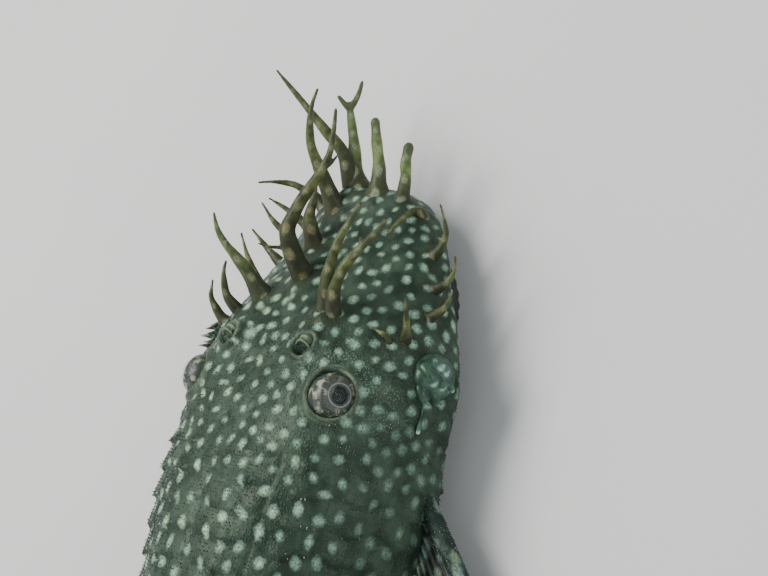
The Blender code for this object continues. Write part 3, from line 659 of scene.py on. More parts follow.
def frames_along(points):
    """Direction and two steady cross directions at each point of a line."""
    points = np.asarray(points, float)
    along = np.gradient(points, axis=0)
    along /= np.linalg.norm(along, axis=1, keepdims=True)
    start = np.array((0.0, 0.0, 1.0))
    if abs(along[0] @ start) > 0.9:
        start = np.array((0.0, 1.0, 0.0))
    first = np.cross(along[0], start)
    first /= np.linalg.norm(first)
    sides = [first]
    for direction in along[1:]:
        side = sides[-1] - direction * (sides[-1] @ direction)
        sides.append(side / np.linalg.norm(side))
    sides = np.array(sides)
    return along, sides, np.cross(along, sides)


def tube(points, radii, sides, flat=1.0, flutes=0, flute_depth=0.0):
    """Points and faces of a closed tube along a line; flat is its depth for its width."""
    points = np.asarray(points, float)
    _, left, up = frames_along(points)
    turns = np.linspace(0.0, 2.0 * math.pi, sides, endpoint=False)
    swell = 1.0 + flute_depth * np.cos(flutes * turns)
    circle = (np.cos(turns) * swell)[None, :, None] * left[:, None, :]
    circle = circle + (np.sin(turns) * swell * flat)[None, :, None] * up[:, None, :]
    spots = points[:, None, :] + circle * np.asarray(radii)[:, None, None]
    spots = np.concatenate([spots.reshape(-1, 3), [points[0], points[-1]]])
    return spots, capped_faces(len(points), sides)


def tube_marks(rings, sides, tubes):
    """Number from 0 at the root to 1 at the tip for the points of tubes that are built alike."""
    one = np.concatenate([np.repeat(np.arange(rings) / (rings - 1.0), sides), [0.0, 1.0]])
    return np.tile(one, tubes)


def gather(parts):
    """One list of points and faces from several."""
    points = []
    faces = []
    start = 0
    for spots, sides in parts:
        points.append(np.asarray(spots))
        faces.extend(tuple(start + i for i in face) for face in sides)
        start += len(spots)
    return np.concatenate(points), faces


class Wires:
    """Adds nodes to a shader tree and joins them."""

    def __init__(self, tree):
        self.tree = tree

    def node(self, kind, **settings):
        """New node with its own settings."""
        made = self.tree.nodes.new(kind)
        for key, value in settings.items():
            setattr(made, key, value)
        return made

    def feed(self, socket, value):
        """Link a socket to another's output, or give it a plain value."""
        if isinstance(value, bpy.types.NodeSocket):
            self.tree.links.new(value, socket)
        elif value is not None:
            socket.default_value = value

    def maths(self, operation, first, second=None, third=None):
        """Result of one sum."""
        made = self.node("ShaderNodeMath", operation=operation)
        for socket, value in zip(made.inputs, (first, second, third)):
            self.feed(socket, value)
        return made.outputs[0]

    def times(self, first, second):
        """Product of two numbers."""
        return self.maths("MULTIPLY", first, second)

    def mix(self, share, first, second, blend="MIX"):
        """Colour between two others."""
        made = self.node("ShaderNodeMix", data_type="RGBA", blend_type=blend)
        self.feed(made.inputs[0], share)
        self.feed(made.inputs[6], first)
        self.feed(made.inputs[7], second)
        return made.outputs[2]

    def span(self, value, low, high, to_low=0.0, to_high=1.0):
        """Number moved smoothly from one range to another."""
        made = self.node("ShaderNodeMapRange", interpolation_type="SMOOTHSTEP")
        for socket, number in zip(made.inputs, (value, low, high, to_low, to_high)):
            self.feed(socket, number)
        return made.outputs[0]

    def attribute(self, name):
        """Number stored on the piece's points."""
        return self.node("ShaderNodeAttribute", attribute_name=name).outputs["Fac"]

    def coords(self, stretch=None):
        """Place in the object's own space, in metres."""
        coords = self.node("ShaderNodeTexCoord").outputs["Object"]
        if not stretch:
            return coords
        mapping = self.node("ShaderNodeMapping")
        mapping.inputs["Scale"].default_value = stretch
        self.feed(mapping.inputs["Vector"], coords)
        return mapping.outputs[0]

    def mottle(self, scale, detail=2.0, coords=None):
        """Cloudy noise, in clouds a metre."""
        made = self.node("ShaderNodeTexNoise")
        self.feed(made.inputs["Vector"], self.coords() if coords is None else coords)
        self.feed(made.inputs["Scale"], scale)
        made.inputs["Detail"].default_value = detail
        return made.outputs["Fac"]

    def patchy(self, scale, low, high):
        """Number that wanders between two values."""
        return self.span(self.mottle(scale), 0.3, 0.7, low, high)

    def cells(self, scale, coords=None):
        """Distance from the nearest of many scattered points, in points a metre."""
        made = self.node("ShaderNodeTexVoronoi")
        self.feed(made.inputs["Vector"], self.coords() if coords is None else coords)
        made.inputs["Scale"].default_value = scale
        return made.outputs["Distance"]


def colour(values):
    """Linear colour with its fourth number."""
    return (values[0], values[1], values[2], 1.0)


def start_material(name, **settings):
    """Material with a Principled shader whose plain settings are given by name."""
    made = bpy.data.materials.new(name)
    made.use_nodes = True
    wires = Wires(made.node_tree)
    shader = made.node_tree.nodes["Principled BSDF"]
    for key, value in settings.items():
        shader.inputs[key.replace("_", " ").title().replace("Ior", "IOR")].default_value = value
    return made, wires, shader


def start_group(name, inputs, outputs):
    """Shader node group with named sockets, and the nodes that lead in and out of it."""
    group = bpy.data.node_groups.new(name, "ShaderNodeTree")
    for label, kind, default in inputs:
        socket = group.interface.new_socket(label, in_out="INPUT", socket_type=kind)
        socket.default_value = default
    for label, kind in outputs:
        group.interface.new_socket(label, in_out="OUTPUT", socket_type=kind)
    wires = Wires(group)
    return wires, wires.node("NodeGroupInput").outputs, wires.node("NodeGroupOutput").inputs


def use_group(wires, name, **values):
    """Place a shared group in a material with its own values; it is built at its first use."""
    if name not in bpy.data.node_groups:
        SHARED_GROUPS[name](name)
    made = wires.node("ShaderNodeGroup", node_tree=bpy.data.node_groups[name])
    for key, value in values.items():
        wires.feed(made.inputs[key.replace("_", " ").capitalize()], value)
    return made.outputs


def build_pale_spots(name):
    """Ragged pale spots over a ground, deeper in colour at their rims."""
    wires, given, result = start_group(
        name,
        [("Distance", NUMBER, 1.0), ("Tone", NUMBER, 0.5), ("Softness", NUMBER, 0.12),
         ("Ground", COLOUR, BLACK), ("First colour", COLOUR, WHITE),
         ("Second colour", COLOUR, WHITE), ("Strength", NUMBER, 1.0)],
        [("Color", COLOUR)])
    ragged = wires.maths("SUBTRACT", wires.mottle(1900.0, 3.0), 0.5)
    edge = wires.maths("MULTIPLY_ADD", ragged, 0.5, given["Distance"])
    low = wires.times(given["Softness"], -1.0)
    mask = wires.span(edge, low, given["Softness"], 1.0, 0.0)
    mask = wires.times(mask, given["Strength"])
    deep = wires.span(edge, -0.55, -0.05, 1.0, 0.72)
    halo = wires.maths("ADD", given["Tone"], wires.span(edge, -0.5, 0.05, -0.14, 0.32))
    halo = wires.span(halo, 0.0, 1.0)
    tint = wires.mix(halo, given["First colour"], given["Second colour"])
    grain = wires.span(wires.cells(4200.0), 0.1, 0.75, 1.12, 0.62)
    tint = wires.mix(1.0, tint, wires.times(grain, deep), "MULTIPLY")
    wires.feed(result["Color"], wires.mix(mask, given["Ground"], tint))


def build_skin_grain(name):
    """Fine domes of the skin as a height, and pale tips on some of them."""
    wires, given, result = start_group(
        name, [("Strength", NUMBER, 1.0)], [("Height", NUMBER), ("Specks", NUMBER)])
    space = wires.coords((0.75, 1.0, 1.0))
    domes = wires.span(wires.cells(3300.0, space), 0.0, 0.62, 1.0, 0.0)
    height = wires.maths("MULTIPLY_ADD", wires.mottle(5200.0, 3.0, space), 0.35, domes)
    height = wires.maths("MULTIPLY_ADD", wires.mottle(620.0, 2.0, space), 1.1, height)
    wires.feed(result["Height"], wires.times(height, given["Strength"]))
    tips = wires.span(wires.cells(3300.0, space), 0.02, 0.24, 1.0, 0.0)
    some = wires.span(wires.mottle(900.0, 2.0, space), 0.44, 0.62)
    wires.feed(result["Specks"], wires.times(wires.times(tips, some), given["Strength"]))


def build_mottled_ground(name):
    """Ground that wanders between a dark and a light colour."""
    wires, given, result = start_group(
        name, [("Dark", COLOUR, BLACK), ("Light", COLOUR, WHITE), ("Scale", NUMBER, 300.0)],
        [("Color", COLOUR)])
    share = wires.span(wires.mottle(given["Scale"], 4.0), 0.33, 0.68)
    wires.feed(result["Color"], wires.mix(share, given["Dark"], given["Light"]))


SHARED_GROUPS = {
    "Pale spots": build_pale_spots,
    "Skin grain": build_skin_grain,
    "Mottled ground": build_mottled_ground,
}


def add_bump(wires, shader, height, distance, strength):
    """Bump of a height for a shader, distance in metres."""
    made = wires.node("ShaderNodeBump")
    made.inputs["Strength"].default_value = strength
    made.inputs["Distance"].default_value = distance
    wires.feed(made.inputs["Height"], height)
    wires.feed(shader.inputs["Normal"], made.outputs["Normal"])


def clouded(wires, dark, light, scale):
    """Mottled ground between two of a piece's colours, in clouds a metre."""
    return use_group(
        wires, "Mottled ground", dark=colour(dark), light=colour(light), scale=scale)["Color"]


def spotted(wires, settings, ground, softness, strength):
    """Ground with pale spots between a piece's green and blue spot colours."""
    return use_group(
        wires, "Pale spots", distance=wires.attribute("spot"), tone=wires.attribute("tone"),
        softness=softness, ground=ground, first_colour=colour(settings.spot_green),
        second_colour=colour(settings.spot_blue), strength=strength)["Color"]


def cover(wires, shader, base, scale, smoothest, roughest):
    """Give a shader its colour, and a roughness that wanders between two values."""
    wires.feed(shader.inputs["Base Color"], base)
    wires.feed(shader.inputs["Roughness"], wires.patchy(scale, smoothest, roughest))


def skin_material(settings):
    """Blackish green skin with pale spots carrying painted light and shade, fine specks, pale rims
    partly painted as wet highlights, and a wet gloss.
    """
    made, wires, shader = start_material(
        "pleco_skin", coat_weight=0.05, coat_roughness=0.2, specular_ior_level=0.18,
        specular_tint=(0.7, 0.92, 0.68, 1.0))
    ground = clouded(wires, settings.dark, settings.light, 420.0)
    ground = wires.mix(wires.attribute("warmth"), ground, colour(settings.root_brown))
    ground = wires.mix(wires.attribute("belly"), ground, colour(settings.belly))
    grain = use_group(wires, "Skin grain", strength=wires.attribute("grain"))
    many = wires.attribute("speck")
    specks = wires.times(grain["Specks"], wires.span(many, 0.0, 1.0, 0.28, 1.0))
    dense = wires.span(wires.cells(4700.0), 0.1, 0.4, 0.85, 0.0)
    specks = wires.maths("MAXIMUM", specks, wires.times(dense, many))
    ground = wires.mix(specks, ground, colour(settings.speck))
    # Spot strength also holds painted shade that dims the spots on the lower flanks
    spots = spotted(wires, settings, ground, 0.2, wires.attribute("spot_strength_and_painted_shade"))
    # Pale rims: painted wet highlights on the orbit and nostril rims, and the skin's own pale
    # patches behind the cheeks
    rim = wires.mix(wires.attribute("pale_rim_and_highlight"), spots, colour(settings.rim))
    cover(wires, shader, rim, 1500.0, 0.40, 0.58)
    add_bump(wires, shader, grain["Height"], 0.00006, 0.8)
    return made


def tentacle_material(settings):
    """Olive brown flesh, a little see-through, with ochre spots and darker tips."""
    made, wires, shader = start_material(
        "tentacle_flesh", coat_weight=0.03, coat_roughness=0.2, subsurface_weight=0.3,
        specular_ior_level=0.2, subsurface_radius=(0.9, 0.75, 0.35), subsurface_scale=0.0007,
        sheen_weight=1.0, sheen_roughness=0.14, sheen_tint=(0.85, 0.95, 0.65, 1.0))
    tint = wires.attribute("tint")
    flesh = clouded(wires, settings.brown_dark, settings.brown_light, 700.0)
    flesh = wires.mix(wires.span(tint, 0.0, 0.5), flesh, colour(settings.olive))
    flesh = wires.mix(wires.span(tint, 0.5, 1.0), flesh, colour(settings.grey))
    clouds = wires.span(wires.mottle(1000.0, 3.0), 0.34, 0.66, 0.6, 1.15)
    flesh = wires.mix(1.0, flesh, clouds, "MULTIPLY")
    along = wires.attribute("along")
    flesh = wires.mix(wires.span(along, 0.14, 0.56, 0.86, 0.0), flesh, colour(settings.root))
    flesh = wires.mix(wires.span(along, 0.6, 1.0, 0.0, 0.75), flesh, colour(settings.tip))
    spots = use_group(
        wires, "Pale spots", distance=wires.attribute("spot"), tone=tint, softness=0.24,
        ground=flesh, first_colour=colour(settings.ochre), second_colour=colour(settings.cream),
        strength=0.85)["Color"]
    cover(wires, shader, spots, 2600.0, 0.42, 0.6)
    add_bump(wires, shader, wires.mottle(2400.0, 3.0), 0.00008, 0.7)
    return made


def fin_material(settings):
    """Dark fin: see-through web, browner rays with joints, and rows of pale spots."""
    _, wires, shader = start_material(
        "fin_web", coat_weight=0.3, coat_roughness=0.2, subsurface_weight=0.2,
        subsurface_radius=(0.8, 0.7, 0.4), subsurface_scale=0.0005)
    web = clouded(wires, settings.web_dark, settings.web_light, 800.0)
    ray = wires.attribute("ray")
    ground = wires.mix(wires.times(ray, 0.7), web, colour(settings.ray))
    cover(wires, shader, spotted(wires, settings, ground, 0.16, 0.8), 1800.0, 0.34, 0.52)
    wires.feed(shader.inputs["Alpha"], wires.span(ray, 0.0, 0.5, settings.web_cover, 1.0))
    joints = wires.maths("SINE", wires.times(wires.attribute("along_mm"), 9.0))
    joints = wires.times(wires.span(joints, 0.72, 1.0), -0.8)
    height = wires.maths("MULTIPLY_ADD", joints, ray, wires.mottle(3000.0))
    add_bump(wires, shader, height, 0.00008, 0.7)


def spine_material(settings):
    """Slate fin spine, rough as a file, with pale patches."""
    _, wires, shader = start_material(
        "fin_spine", coat_weight=0.04, coat_roughness=0.2, specular_ior_level=0.2,
        specular_tint=(0.62, 0.92, 0.7, 1.0))
    ground = clouded(wires, settings.spine_dark, settings.spine_light, 600.0)
    grain = use_group(wires, "Skin grain", strength=1.0)
    ground = wires.mix(wires.times(grain["Specks"], 0.22), ground, colour(settings.dash))
    cover(wires, shader, spotted(wires, settings, ground, 0.2, 0.55), 1800.0, 0.45, 0.62)
    add_bump(wires, shader, grain["Height"], 0.00007, 0.9)


def odontode_material(name, root, tip):
    """Tiny skin teeth: dark roots and glassy pale tips."""
    made, wires, shader = start_material(
        name, coat_weight=0.6, coat_roughness=0.1, subsurface_weight=0.15,
        subsurface_radius=(0.8, 0.8, 0.7), subsurface_scale=0.0002)
    blend = wires.mix(wires.span(wires.attribute("tipward"), 0.15, 0.95), colour(root), colour(tip))
    blend = wires.mix(1.0, blend, wires.patchy(500.0, 0.55, 1.15), "MULTIPLY")
    cover(wires, shader, blend, 2000.0, 0.2, 0.42)
    return made


def skin_stations():
    """Stations of the skin's rings, evenly spread along the outline."""
    fine = np.linspace(0.0, 10.0, 6001) ** 2
    run = np.hypot(np.diff(fine), np.diff(HALF_WIDTH(fine)))
    step = np.where(fine[1:] < HEAD_END, SKIN_STEP[0], SKIN_STEP[1])
    count = np.concatenate([[0.0], np.cumsum(run / step)])
    rings = int(count[-1])
    return np.interp(np.arange(1, rings + 1) * count[-1] / rings, count, fine)


def skin_angles():
    """Degrees of the skin's sides, evenly spread round a section, closer above."""
    fine = np.linspace(-90.0, 270.0, 7201)
    side, height = section_point(np.full(len(fine), 24.0), fine)
    run = np.hypot(np.diff(side), np.diff(height))
    middle = 0.5 * (fine[1:] + fine[:-1])
    above = (middle > -4.0) & (middle < 184.0)
    share = np.where(above, SKIN_SIDES[0] / run[above].sum(), SKIN_SIDES[1] / run[~above].sum())
    count = np.concatenate([[0.0], np.cumsum(run * share)])
    sides = sum(SKIN_SIDES)
    return np.interp(np.arange(sides) * count[-1] / sides, count, fine)


def mirrored_degrees(degrees):
    """The same place on the left side, from -90 under the belly to 90 on the back."""
    return np.where(degrees > 90.0, 180.0 - degrees, degrees)


def plate_relief(station, degrees, lift):
    """Height in mm of the bony plates, their keels and the seams between them."""
    level = mirrored_degrees(degrees)
    seams = np.array(SEAM_ANGLES)
    row = np.clip(np.searchsorted(-seams, -level) - 1, 0, len(seams) - 2)
    high = seams[row]
    low = seams[row + 1]
    across = np.clip((high - level) / (high - low), 0.0, 1.0)
    middle = 1.0 - np.abs(2.0 * across - 1.0)
    start = PLATES_START + 0.35 * (row % 2) + PLATE_BULGE * middle ** 1.4
    phase = (station - start) / PLATE_PITCH
    phase = phase - np.floor(phase)
    ramp = phase ** 1.15 * (1.0 - ease(phase, 0.93, 1.0))
    scale = 0.55 + 0.45 * HALF_WIDTH(station) / HALF_WIDTH(HEAD_END)
    keel = KEEL_LIFT * bell(across - 0.5, 0.13) * (0.35 + 0.65 * ramp)
    width = HALF_WIDTH(station) * np.radians(high - low)
    from_seam = np.minimum(across, 1.0 - across) * width
    relief = scale * (lift * ramp * (0.45 + 0.55 * middle ** 0.6) + keel)
    relief = relief - SEAM_DEPTH * bell(from_seam, SEAM_HALF)
    flank = ease(level, -54.0, -44.0)
    return relief * flank * ease(station, 28.0, 31.0) * (1.0 - ease(station, 97.5, 99.5))


class SkinForms:
    """Height of the skin over the plain body in mm, and its colour masks, built form by form."""

    def __init__(self, points, relief):
        self.points = points
        self.relief = relief
        self.masks = {name: np.zeros(len(points)) for name in ("warmth", "pale_rim_and_highlight", "speck")}

    def mask(self, name, values):
        """Raise a mask to the values given where they are higher."""
        self.masks[name] = np.maximum(self.masks[name], values)

    def add_orbit(self, hand, patches):
        """Sunk orbit with a rim that carries painted wet highlights in patches, and fine grains
        ahead of it.
        """
        middle = on_side(EYE_PLACE, hand)
        away = away_mm(self.points, middle)
        inside = 1.0 - ease(away, *ORBIT_WALL)
        self.relief += ring(away, ORBIT_RIM) * (1.0 - inside) - ORBIT_DEPTH * inside
        self.relief += ring(away, ORBIT_FOLD)
        self.mask("pale_rim_and_highlight", ring(away, ORBIT_HIGHLIGHT) * patches)
        self.mask("pale_rim_and_highlight", ring(away, ORBIT_HIGHLIGHT_GAPS) * (1.0 - patches))
        ahead = ease((self.points[:, 0] - middle[0]) / MM, *ORBIT_GRAINS_START)
        self.mask("speck", ring(away, ORBIT_GRAINS) * ahead)

    def add_nostril(self, hand, patches):
        """Swelling with a ring carrying a painted highlight in patches, a dip in it and a pit
        behind.
        """
        away = away_mm(self.points, on_side(NOSTRIL_PLACE, hand))
        swell = NOSTRIL_SWELL[hand] * bell(away, NOSTRIL_SWELL_WIDTH)
        self.relief += swell + ring(away, NOSTRIL_RING)
        self.relief += ring(away, NOSTRIL_DIP)
        self.mask("pale_rim_and_highlight", ring(away, NOSTRIL_HIGHLIGHT) * np.clip(patches, 0.0, 1.0))
        pit = back_place(NOSTRIL_PLACE[0] + NOSTRIL_PIT, NOSTRIL_PLACE[1] * hand)
        away = away_mm(self.points, pit)
        self.relief -= NOSTRIL_PIT_DEPTH * np.exp(-((away / NOSTRIL_PIT_HALF) ** 4))

    def add_cheek(self, hand, patches):
        """Fold round the cheek patch, and the grained swelling behind it."""
        station, side, height = CHEEK_PLACE
        away = away_mm(self.points, place(station, side * hand, height))
        self.relief += ring(away, CHEEK_FOLD) * ease(away, *CHEEK_FOLD_START)
        away = away_mm(self.points, on_side(SWELLING_PLACE, hand))
        self.relief += ring(away, SWELLING)
        self.mask("pale_rim_and_highlight", ring(away, SWELLING_PALE) * patches)
        self.mask("speck", ring(away, SWELLING_GRAINS))
        away = away_mm(self.points, on_side(GILL_PLACE, hand))
        self.mask("speck", ring(away, GILL_GRAINS))

    def add_tentacle_root(self, spec):
        """Mound at the foot of a tentacle, browner than the skin round it."""
        away = away_mm(self.points, back_place(*spec.root))
        self.relief += 0.26 * spec.width * bell(away, 0.8 * spec.width)
        self.mask("warmth", (1.0 - spec.tint) * bell(away, 0.9 * spec.width))

    def add_folds(self, station, degrees):
        """Creases and lumps of the flesh, the dorsal fin's base, the brow and the gill slit."""
        level = mirrored_degrees(degrees)
        upper = ease(level, -30.0, 0.0)
        flesh = 1.0 - ease(station, *FLESH_END)
        fold = np.abs(np.sin(station * 1.05 + 0.5 * np.sin(degrees * 0.09)))
        self.relief += 0.1 * (fold - 0.5) * flesh * (1.0 - upper)
        self.relief += 0.16 * rough_field(self.points, 420.0, 1) * flesh
        self.relief += 0.07 * rough_field(self.points, 1250.0, 2) * flesh
        side, _ = section_point(station, degrees)
        self.relief += 0.55 * bell(side, 0.85) * (band(station, *DORSAL_BASE) * upper)
        self.relief -= 0.35 * bell(side, 3.2) * (band(station, *BROW_HOLLOW) * upper)
        gill = bell(station - GILL_SLIT - 0.06 * level, 0.55) * ease(level, -46.0, -38.0)
        self.relief -= 0.35 * gill * (1.0 - ease(level, 4.0, 14.0))


def skin_forms(points, station, degrees, plate_lift):
    """All forms of the skin with their masks; plate_lift is in mm."""
    forms = SkinForms(points, plate_relief(station, degrees, plate_lift))
    orbit_patches = np.clip(0.45 + 1.1 * rough_field(points, 420.0, 3), 0.0, 1.0)
    patches = 0.5 + 0.9 * rough_field(points, 700.0, 4)
    for hand in (1, -1):
        forms.add_orbit(hand, orbit_patches)
        forms.add_nostril(hand, patches)
        forms.add_cheek(hand, patches)
    for spec in TENTACLES.values():
        forms.add_tentacle_root(spec)
    forms.add_folds(station, degrees)
    return forms


def ring_normals(points, rings, sides):
    """Outward directions of points that lie in rings along the body."""
    grid = points.reshape(rings, sides, 3)
    run = np.gradient(grid, axis=0)
    turn = np.roll(grid, -1, axis=1) - np.roll(grid, 1, axis=1)
    normals = np.cross(turn, run).reshape(-1, 3)
    normals /= np.linalg.norm(normals, axis=1, keepdims=True)
    return -normals if normals[np.argmax(points[:, 2]), 2] < 0.0 else normals


def spot_gaps(points, station, level, spacing):
    """Least distance between the skin's spots at each point; 0 where there are none."""
    gaps = 0.86 + 0.14 * ease(station, 5.0, 15.0) + 0.3 * ease(station, 27.0, 36.0)
    gaps = spacing * np.where(level < -50.0, gaps * 1.25, gaps)
    for hand in (1, -1):
        for spot, bare in ((EYE_PLACE, 3.1), (NOSTRIL_PLACE, 1.9), (SWELLING_PLACE, 1.5)):
            gaps[away_mm(points, on_side(spot, hand)) < bare] = 0.0
    return gaps


def skin_spots(skin, settings):
    """Pale spots of the skin: seeded ones, longer on the body, and two by the left nostril."""
    points, out, station, level = skin
    gaps = spot_gaps(points, station, level, settings.spot_spacing)
    picked = spread_points(points, gaps, SEED_SPREAD)
    size = 0.8 + 0.2 * ease(station, 3.0, 15.0) + 0.22 * ease(station, 27.0, 36.0)
    size = 0.5 * settings.spot_size * size
    oblong = 1.0 - 0.28 * ease(points[:, 1] / MM, -5.0, 3.0) * (1.0 - ease(station, 24.0, 32.0))
    oblong = oblong + (settings.spot_stretch - 1.0) * ease(station, 24.0, 34.0)
    spots = make_spots(points, out, picked, size, SEED_SPOTS, oblong)
    for spot in NOSTRIL_SPOTS:
        nearest = np.argmin(away_mm(points, back_place(*spot)))
        spots.append(Spot(
            Vector(points[nearest]), Vector((1.0, 0.0, 0.0)), Vector((0.0, 1.0, 0.0)),
            0.62 * MM, 0.8 * MM, 1.0))
    return spots


def paint_skin(piece, skin, masks, settings):
    """Store what the skin's material reads: spots with painted light and shade, pale rims with
    painted highlights, belly, grains and warm roots.
    """
    points, _, station, level = skin
    distance, tone = spot_field(points, skin_spots(skin, settings))
    store(piece, "spot", distance)
    # Painted light and shade: spots lean to the lighter green on the lit left and to the darker blue
    # on the shaded right, with a random share
    across = np.clip(points[:, 1] / (16.0 * MM), -1.0, 1.0)
    store(piece, "tone", np.clip(0.45 - 0.35 * across + 0.5 * (tone - 0.5), 0.0, 1.0))
    for name, share in (("warmth", 0.8), ("pale_rim_and_highlight", 0.6), ("speck", 1.0)):
        store(piece, name, np.concatenate([masks[name], [0.0, 0.0]]) * share)
    belly = (1.0 - ease(level, -62.0, -40.0)) * 0.9
    store(piece, "belly", belly)
    store(piece, "grain", 0.35 + 0.65 * ease(station, 11.0, 19.0) * (1.0 - belly))
    # Painted shade: spots dimmed on the lower flanks behind the gill, less so towards the tail
    low = ease(station, 21.5, 26.0) * (1.0 - ease(level, 22.0, 42.0))
    low = low * (1.0 - 0.75 * ease(station, 48.0, 75.0))
    strength = (0.95 - 0.45 * belly) * (0.68 + 0.32 * (tone * 7.3 % 1.0))
    store(piece, "spot_strength_and_painted_shade", strength * (1.0 - 0.55 * low))


def make_skin(settings):
    """One closed skin from lip to tail; also gives its points, normals, stations and levels."""
    stations = skin_stations()
    degrees = skin_angles()
    rings = len(stations)
    sides = len(degrees)
    station = np.repeat(stations, sides)
    angle = np.tile(degrees, rings)
    side, height = section_point(station, angle)
    side = side * (1.0 - STALK_END_PINCH * ease(station, 95.5, STANDARD_LENGTH) ** 1.5)
    points = place(station, side, height)
    forms = skin_forms(points, station, angle, settings.plate_lift / MM)
    lip = ease(station, 0.0, 1.2)
    points = points + ring_normals(points, rings, sides) * (forms.relief * lip)[:, None] * MM
    points[:, 2] = np.maximum(points[:, 2], FLOOR_CLEARANCE * MM)
    ends = [place(0.0, 0.0, SNOUT_HEIGHT), place(STANDARD_LENGTH + 0.2, 0.0, STALK_HEIGHT)]
    points = np.concatenate([points, ends])
    piece = new_piece("skin", points, capped_faces(rings, sides), skin_material(settings))
    level = np.concatenate([mirrored_degrees(angle), [0.0, 0.0]])
    station = np.concatenate([station, [0.0, STANDARD_LENGTH]])
    skin = (points, mesh_normals(piece.data), station, level)
    paint_skin(piece, skin, forms.masks, settings)
    finish_piece(piece, "skin", "head", "trunk", "tail_stalk")
    return skin


def cones(roots, outs, leans, lengths, widths):
    """Points, faces and tip marks of many small four-sided hooked teeth."""
    roots = np.asarray(roots)
    outs = np.asarray(outs)
    first = np.cross(outs, leans)
    first /= np.maximum(np.linalg.norm(first, axis=1, keepdims=True), 1e-9)
    second = np.cross(outs, first)
    half = (0.5 * np.asarray(widths))[:, None]
    base = roots - outs * np.asarray(lengths)[:, None] * 0.25
    corners = [base + first * half, base + second * half * 1.3, base - first * half,
               base - second * half * 1.3]
    tips = roots + (outs + np.asarray(leans)) * np.asarray(lengths)[:, None]
    points = np.stack(corners + [tips], axis=1).reshape(-1, 3)
    pattern = ((0, 1, 4), (1, 2, 4), (2, 3, 4), (3, 0, 4), (3, 2, 1, 0))
    faces = [tuple(5 * n + i for i in face) for n in range(len(roots)) for face in pattern]
    tipward = np.tile((0.0, 0.0, 0.0, 0.0, 1.0), len(roots))
    return points, faces, tipward


def bake_map(piece, where):
    """UV map OFBake: each tooth a small patch at its root's place on the skin's unwrap."""
    layer = piece.data.uv_layers.new(name="OFBake")
    corners = np.zeros(len(piece.data.loops), np.int32)
    piece.data.loops.foreach_get("vertex_index", corners)
    offsets = np.array(((0.0015, 0.0), (0.0, 0.0015), (-0.0015, 0.0), (0.0, -0.0015), (0.0, 0.0)))
    spots = np.repeat(np.asarray(where), 5, axis=0) + np.tile(offsets, (len(where), 1))
    layer.data.foreach_set("uv", np.clip(spots, 0.0, 1.0)[corners].astype(np.float32).ravel())


def make_odontodes(name, roots, outs, leans, lengths, widths, where, material, slot):
    """A coat of skin teeth as one piece."""
    points, faces, tipward = cones(roots, outs, leans, lengths, widths)
    piece = new_piece(name, points, faces, material)
    piece.data.shade_flat()
    store(piece, "tipward", tipward)
    bake_map(piece, where)
    finish_piece(piece, slot)


def skin_teeth(skin, settings):
    """Odontodes on the head's rear half and on the plates, in rows that lean to the tail."""
    points, out, station, level = skin
    draw = np.random.default_rng(SEED_TEETH)
    toothed = (level > -44.0) & (station > 15.5) & (station < 99.0)
    for hand in (1, -1):
        toothed &= away_mm(points, on_side(EYE_PLACE, hand)) > 3.0
        toothed &= away_mm(points, on_side(NOSTRIL_PLACE, hand)) > 1.7
    on_head = station < HEAD_END + 1.0
    enamel = odontode_material("skin_teeth", settings.tooth_root, settings.tooth_tip)
    for name, region, keep, length in (
            ("skin_teeth_head", on_head, settings.head_teeth, 0.09),
            ("skin_teeth_body", ~on_head, settings.body_teeth, 0.15)):
        group = np.nonzero(toothed & region)[0]
        chosen = draw.choice(group, size=min(keep, len(group)), replace=False)
        roots = points[chosen] + draw.normal(0.0, 0.03 * MM, (len(chosen), 3))
        outs = out[chosen]
        lengths = length * MM * draw.uniform(0.7, 1.3, len(chosen))
        widths = 0.12 * MM * draw.uniform(0.8, 1.3, len(chosen))
        back = np.tile((-1.0, 0.0, 0.0), (len(chosen), 1))
        leans = back - outs * np.einsum("ij,ij->i", outs, back)[:, None]
        leans = leans * 0.9 + draw.normal(0.0, 0.08, leans.shape)
        where = np.stack([station[chosen] / STANDARD_LENGTH, (level[chosen] + 90.0) / 180.0], axis=1)
        make_odontodes(name, roots, outs, leans, lengths, widths, where, enamel, "skin")


def smooth_line(knots, count):
    """Evenly spaced points of a smooth curve through a few knots."""
    knots = np.array([tuple(knot) for knot in knots])
    run = np.concatenate([[0.0], np.cumsum(np.linalg.norm(np.diff(knots, axis=0), axis=1))])
    slopes = np.gradient(knots, run, axis=0)
    at = np.linspace(0.0, run[-1], count)
    k = np.clip(np.searchsorted(run, at, side="right") - 1, 0, len(run) - 2)
    h = (run[k + 1] - run[k])[:, None]
    t = (at - run[k])[:, None] / h
    points = knots[k] * (1.0 + 2.0 * t) * (1.0 - t) ** 2 + knots[k + 1] * t * t * (3.0 - 2.0 * t)
    points = points + slopes[k] * h * t * (1.0 - t) ** 2 - slopes[k + 1] * h * t * t * (1.0 - t)
    return [Vector(point) for point in points]


def plain_stem(spec, count):
    """Points of a tentacle from its root past its bow to its tip, with a slight wave."""
    root = back_place(*spec.root)
    bow = Vector(place(*spec.bow))
    tip = Vector(place(*spec.tip))
    draw = random.Random(str(spec.root))
    sway = Vector((draw.uniform(-1, 1), draw.uniform(-1, 1), draw.uniform(-1, 1))).normalized()
    start = draw.uniform(0.0, 6.28)
    stem = []
    for i in range(count):
        t = i / (count - 1)
        rest = 1.0 - t
        spot = root * (rest * rest) + bow * (2.0 * rest * t) + tip * (t * t)
        wave = math.sin(9.0 * t + start) * t * rest * 0.25 * spec.width
        stem.append(spot + sway * wave * MM)
    return stem


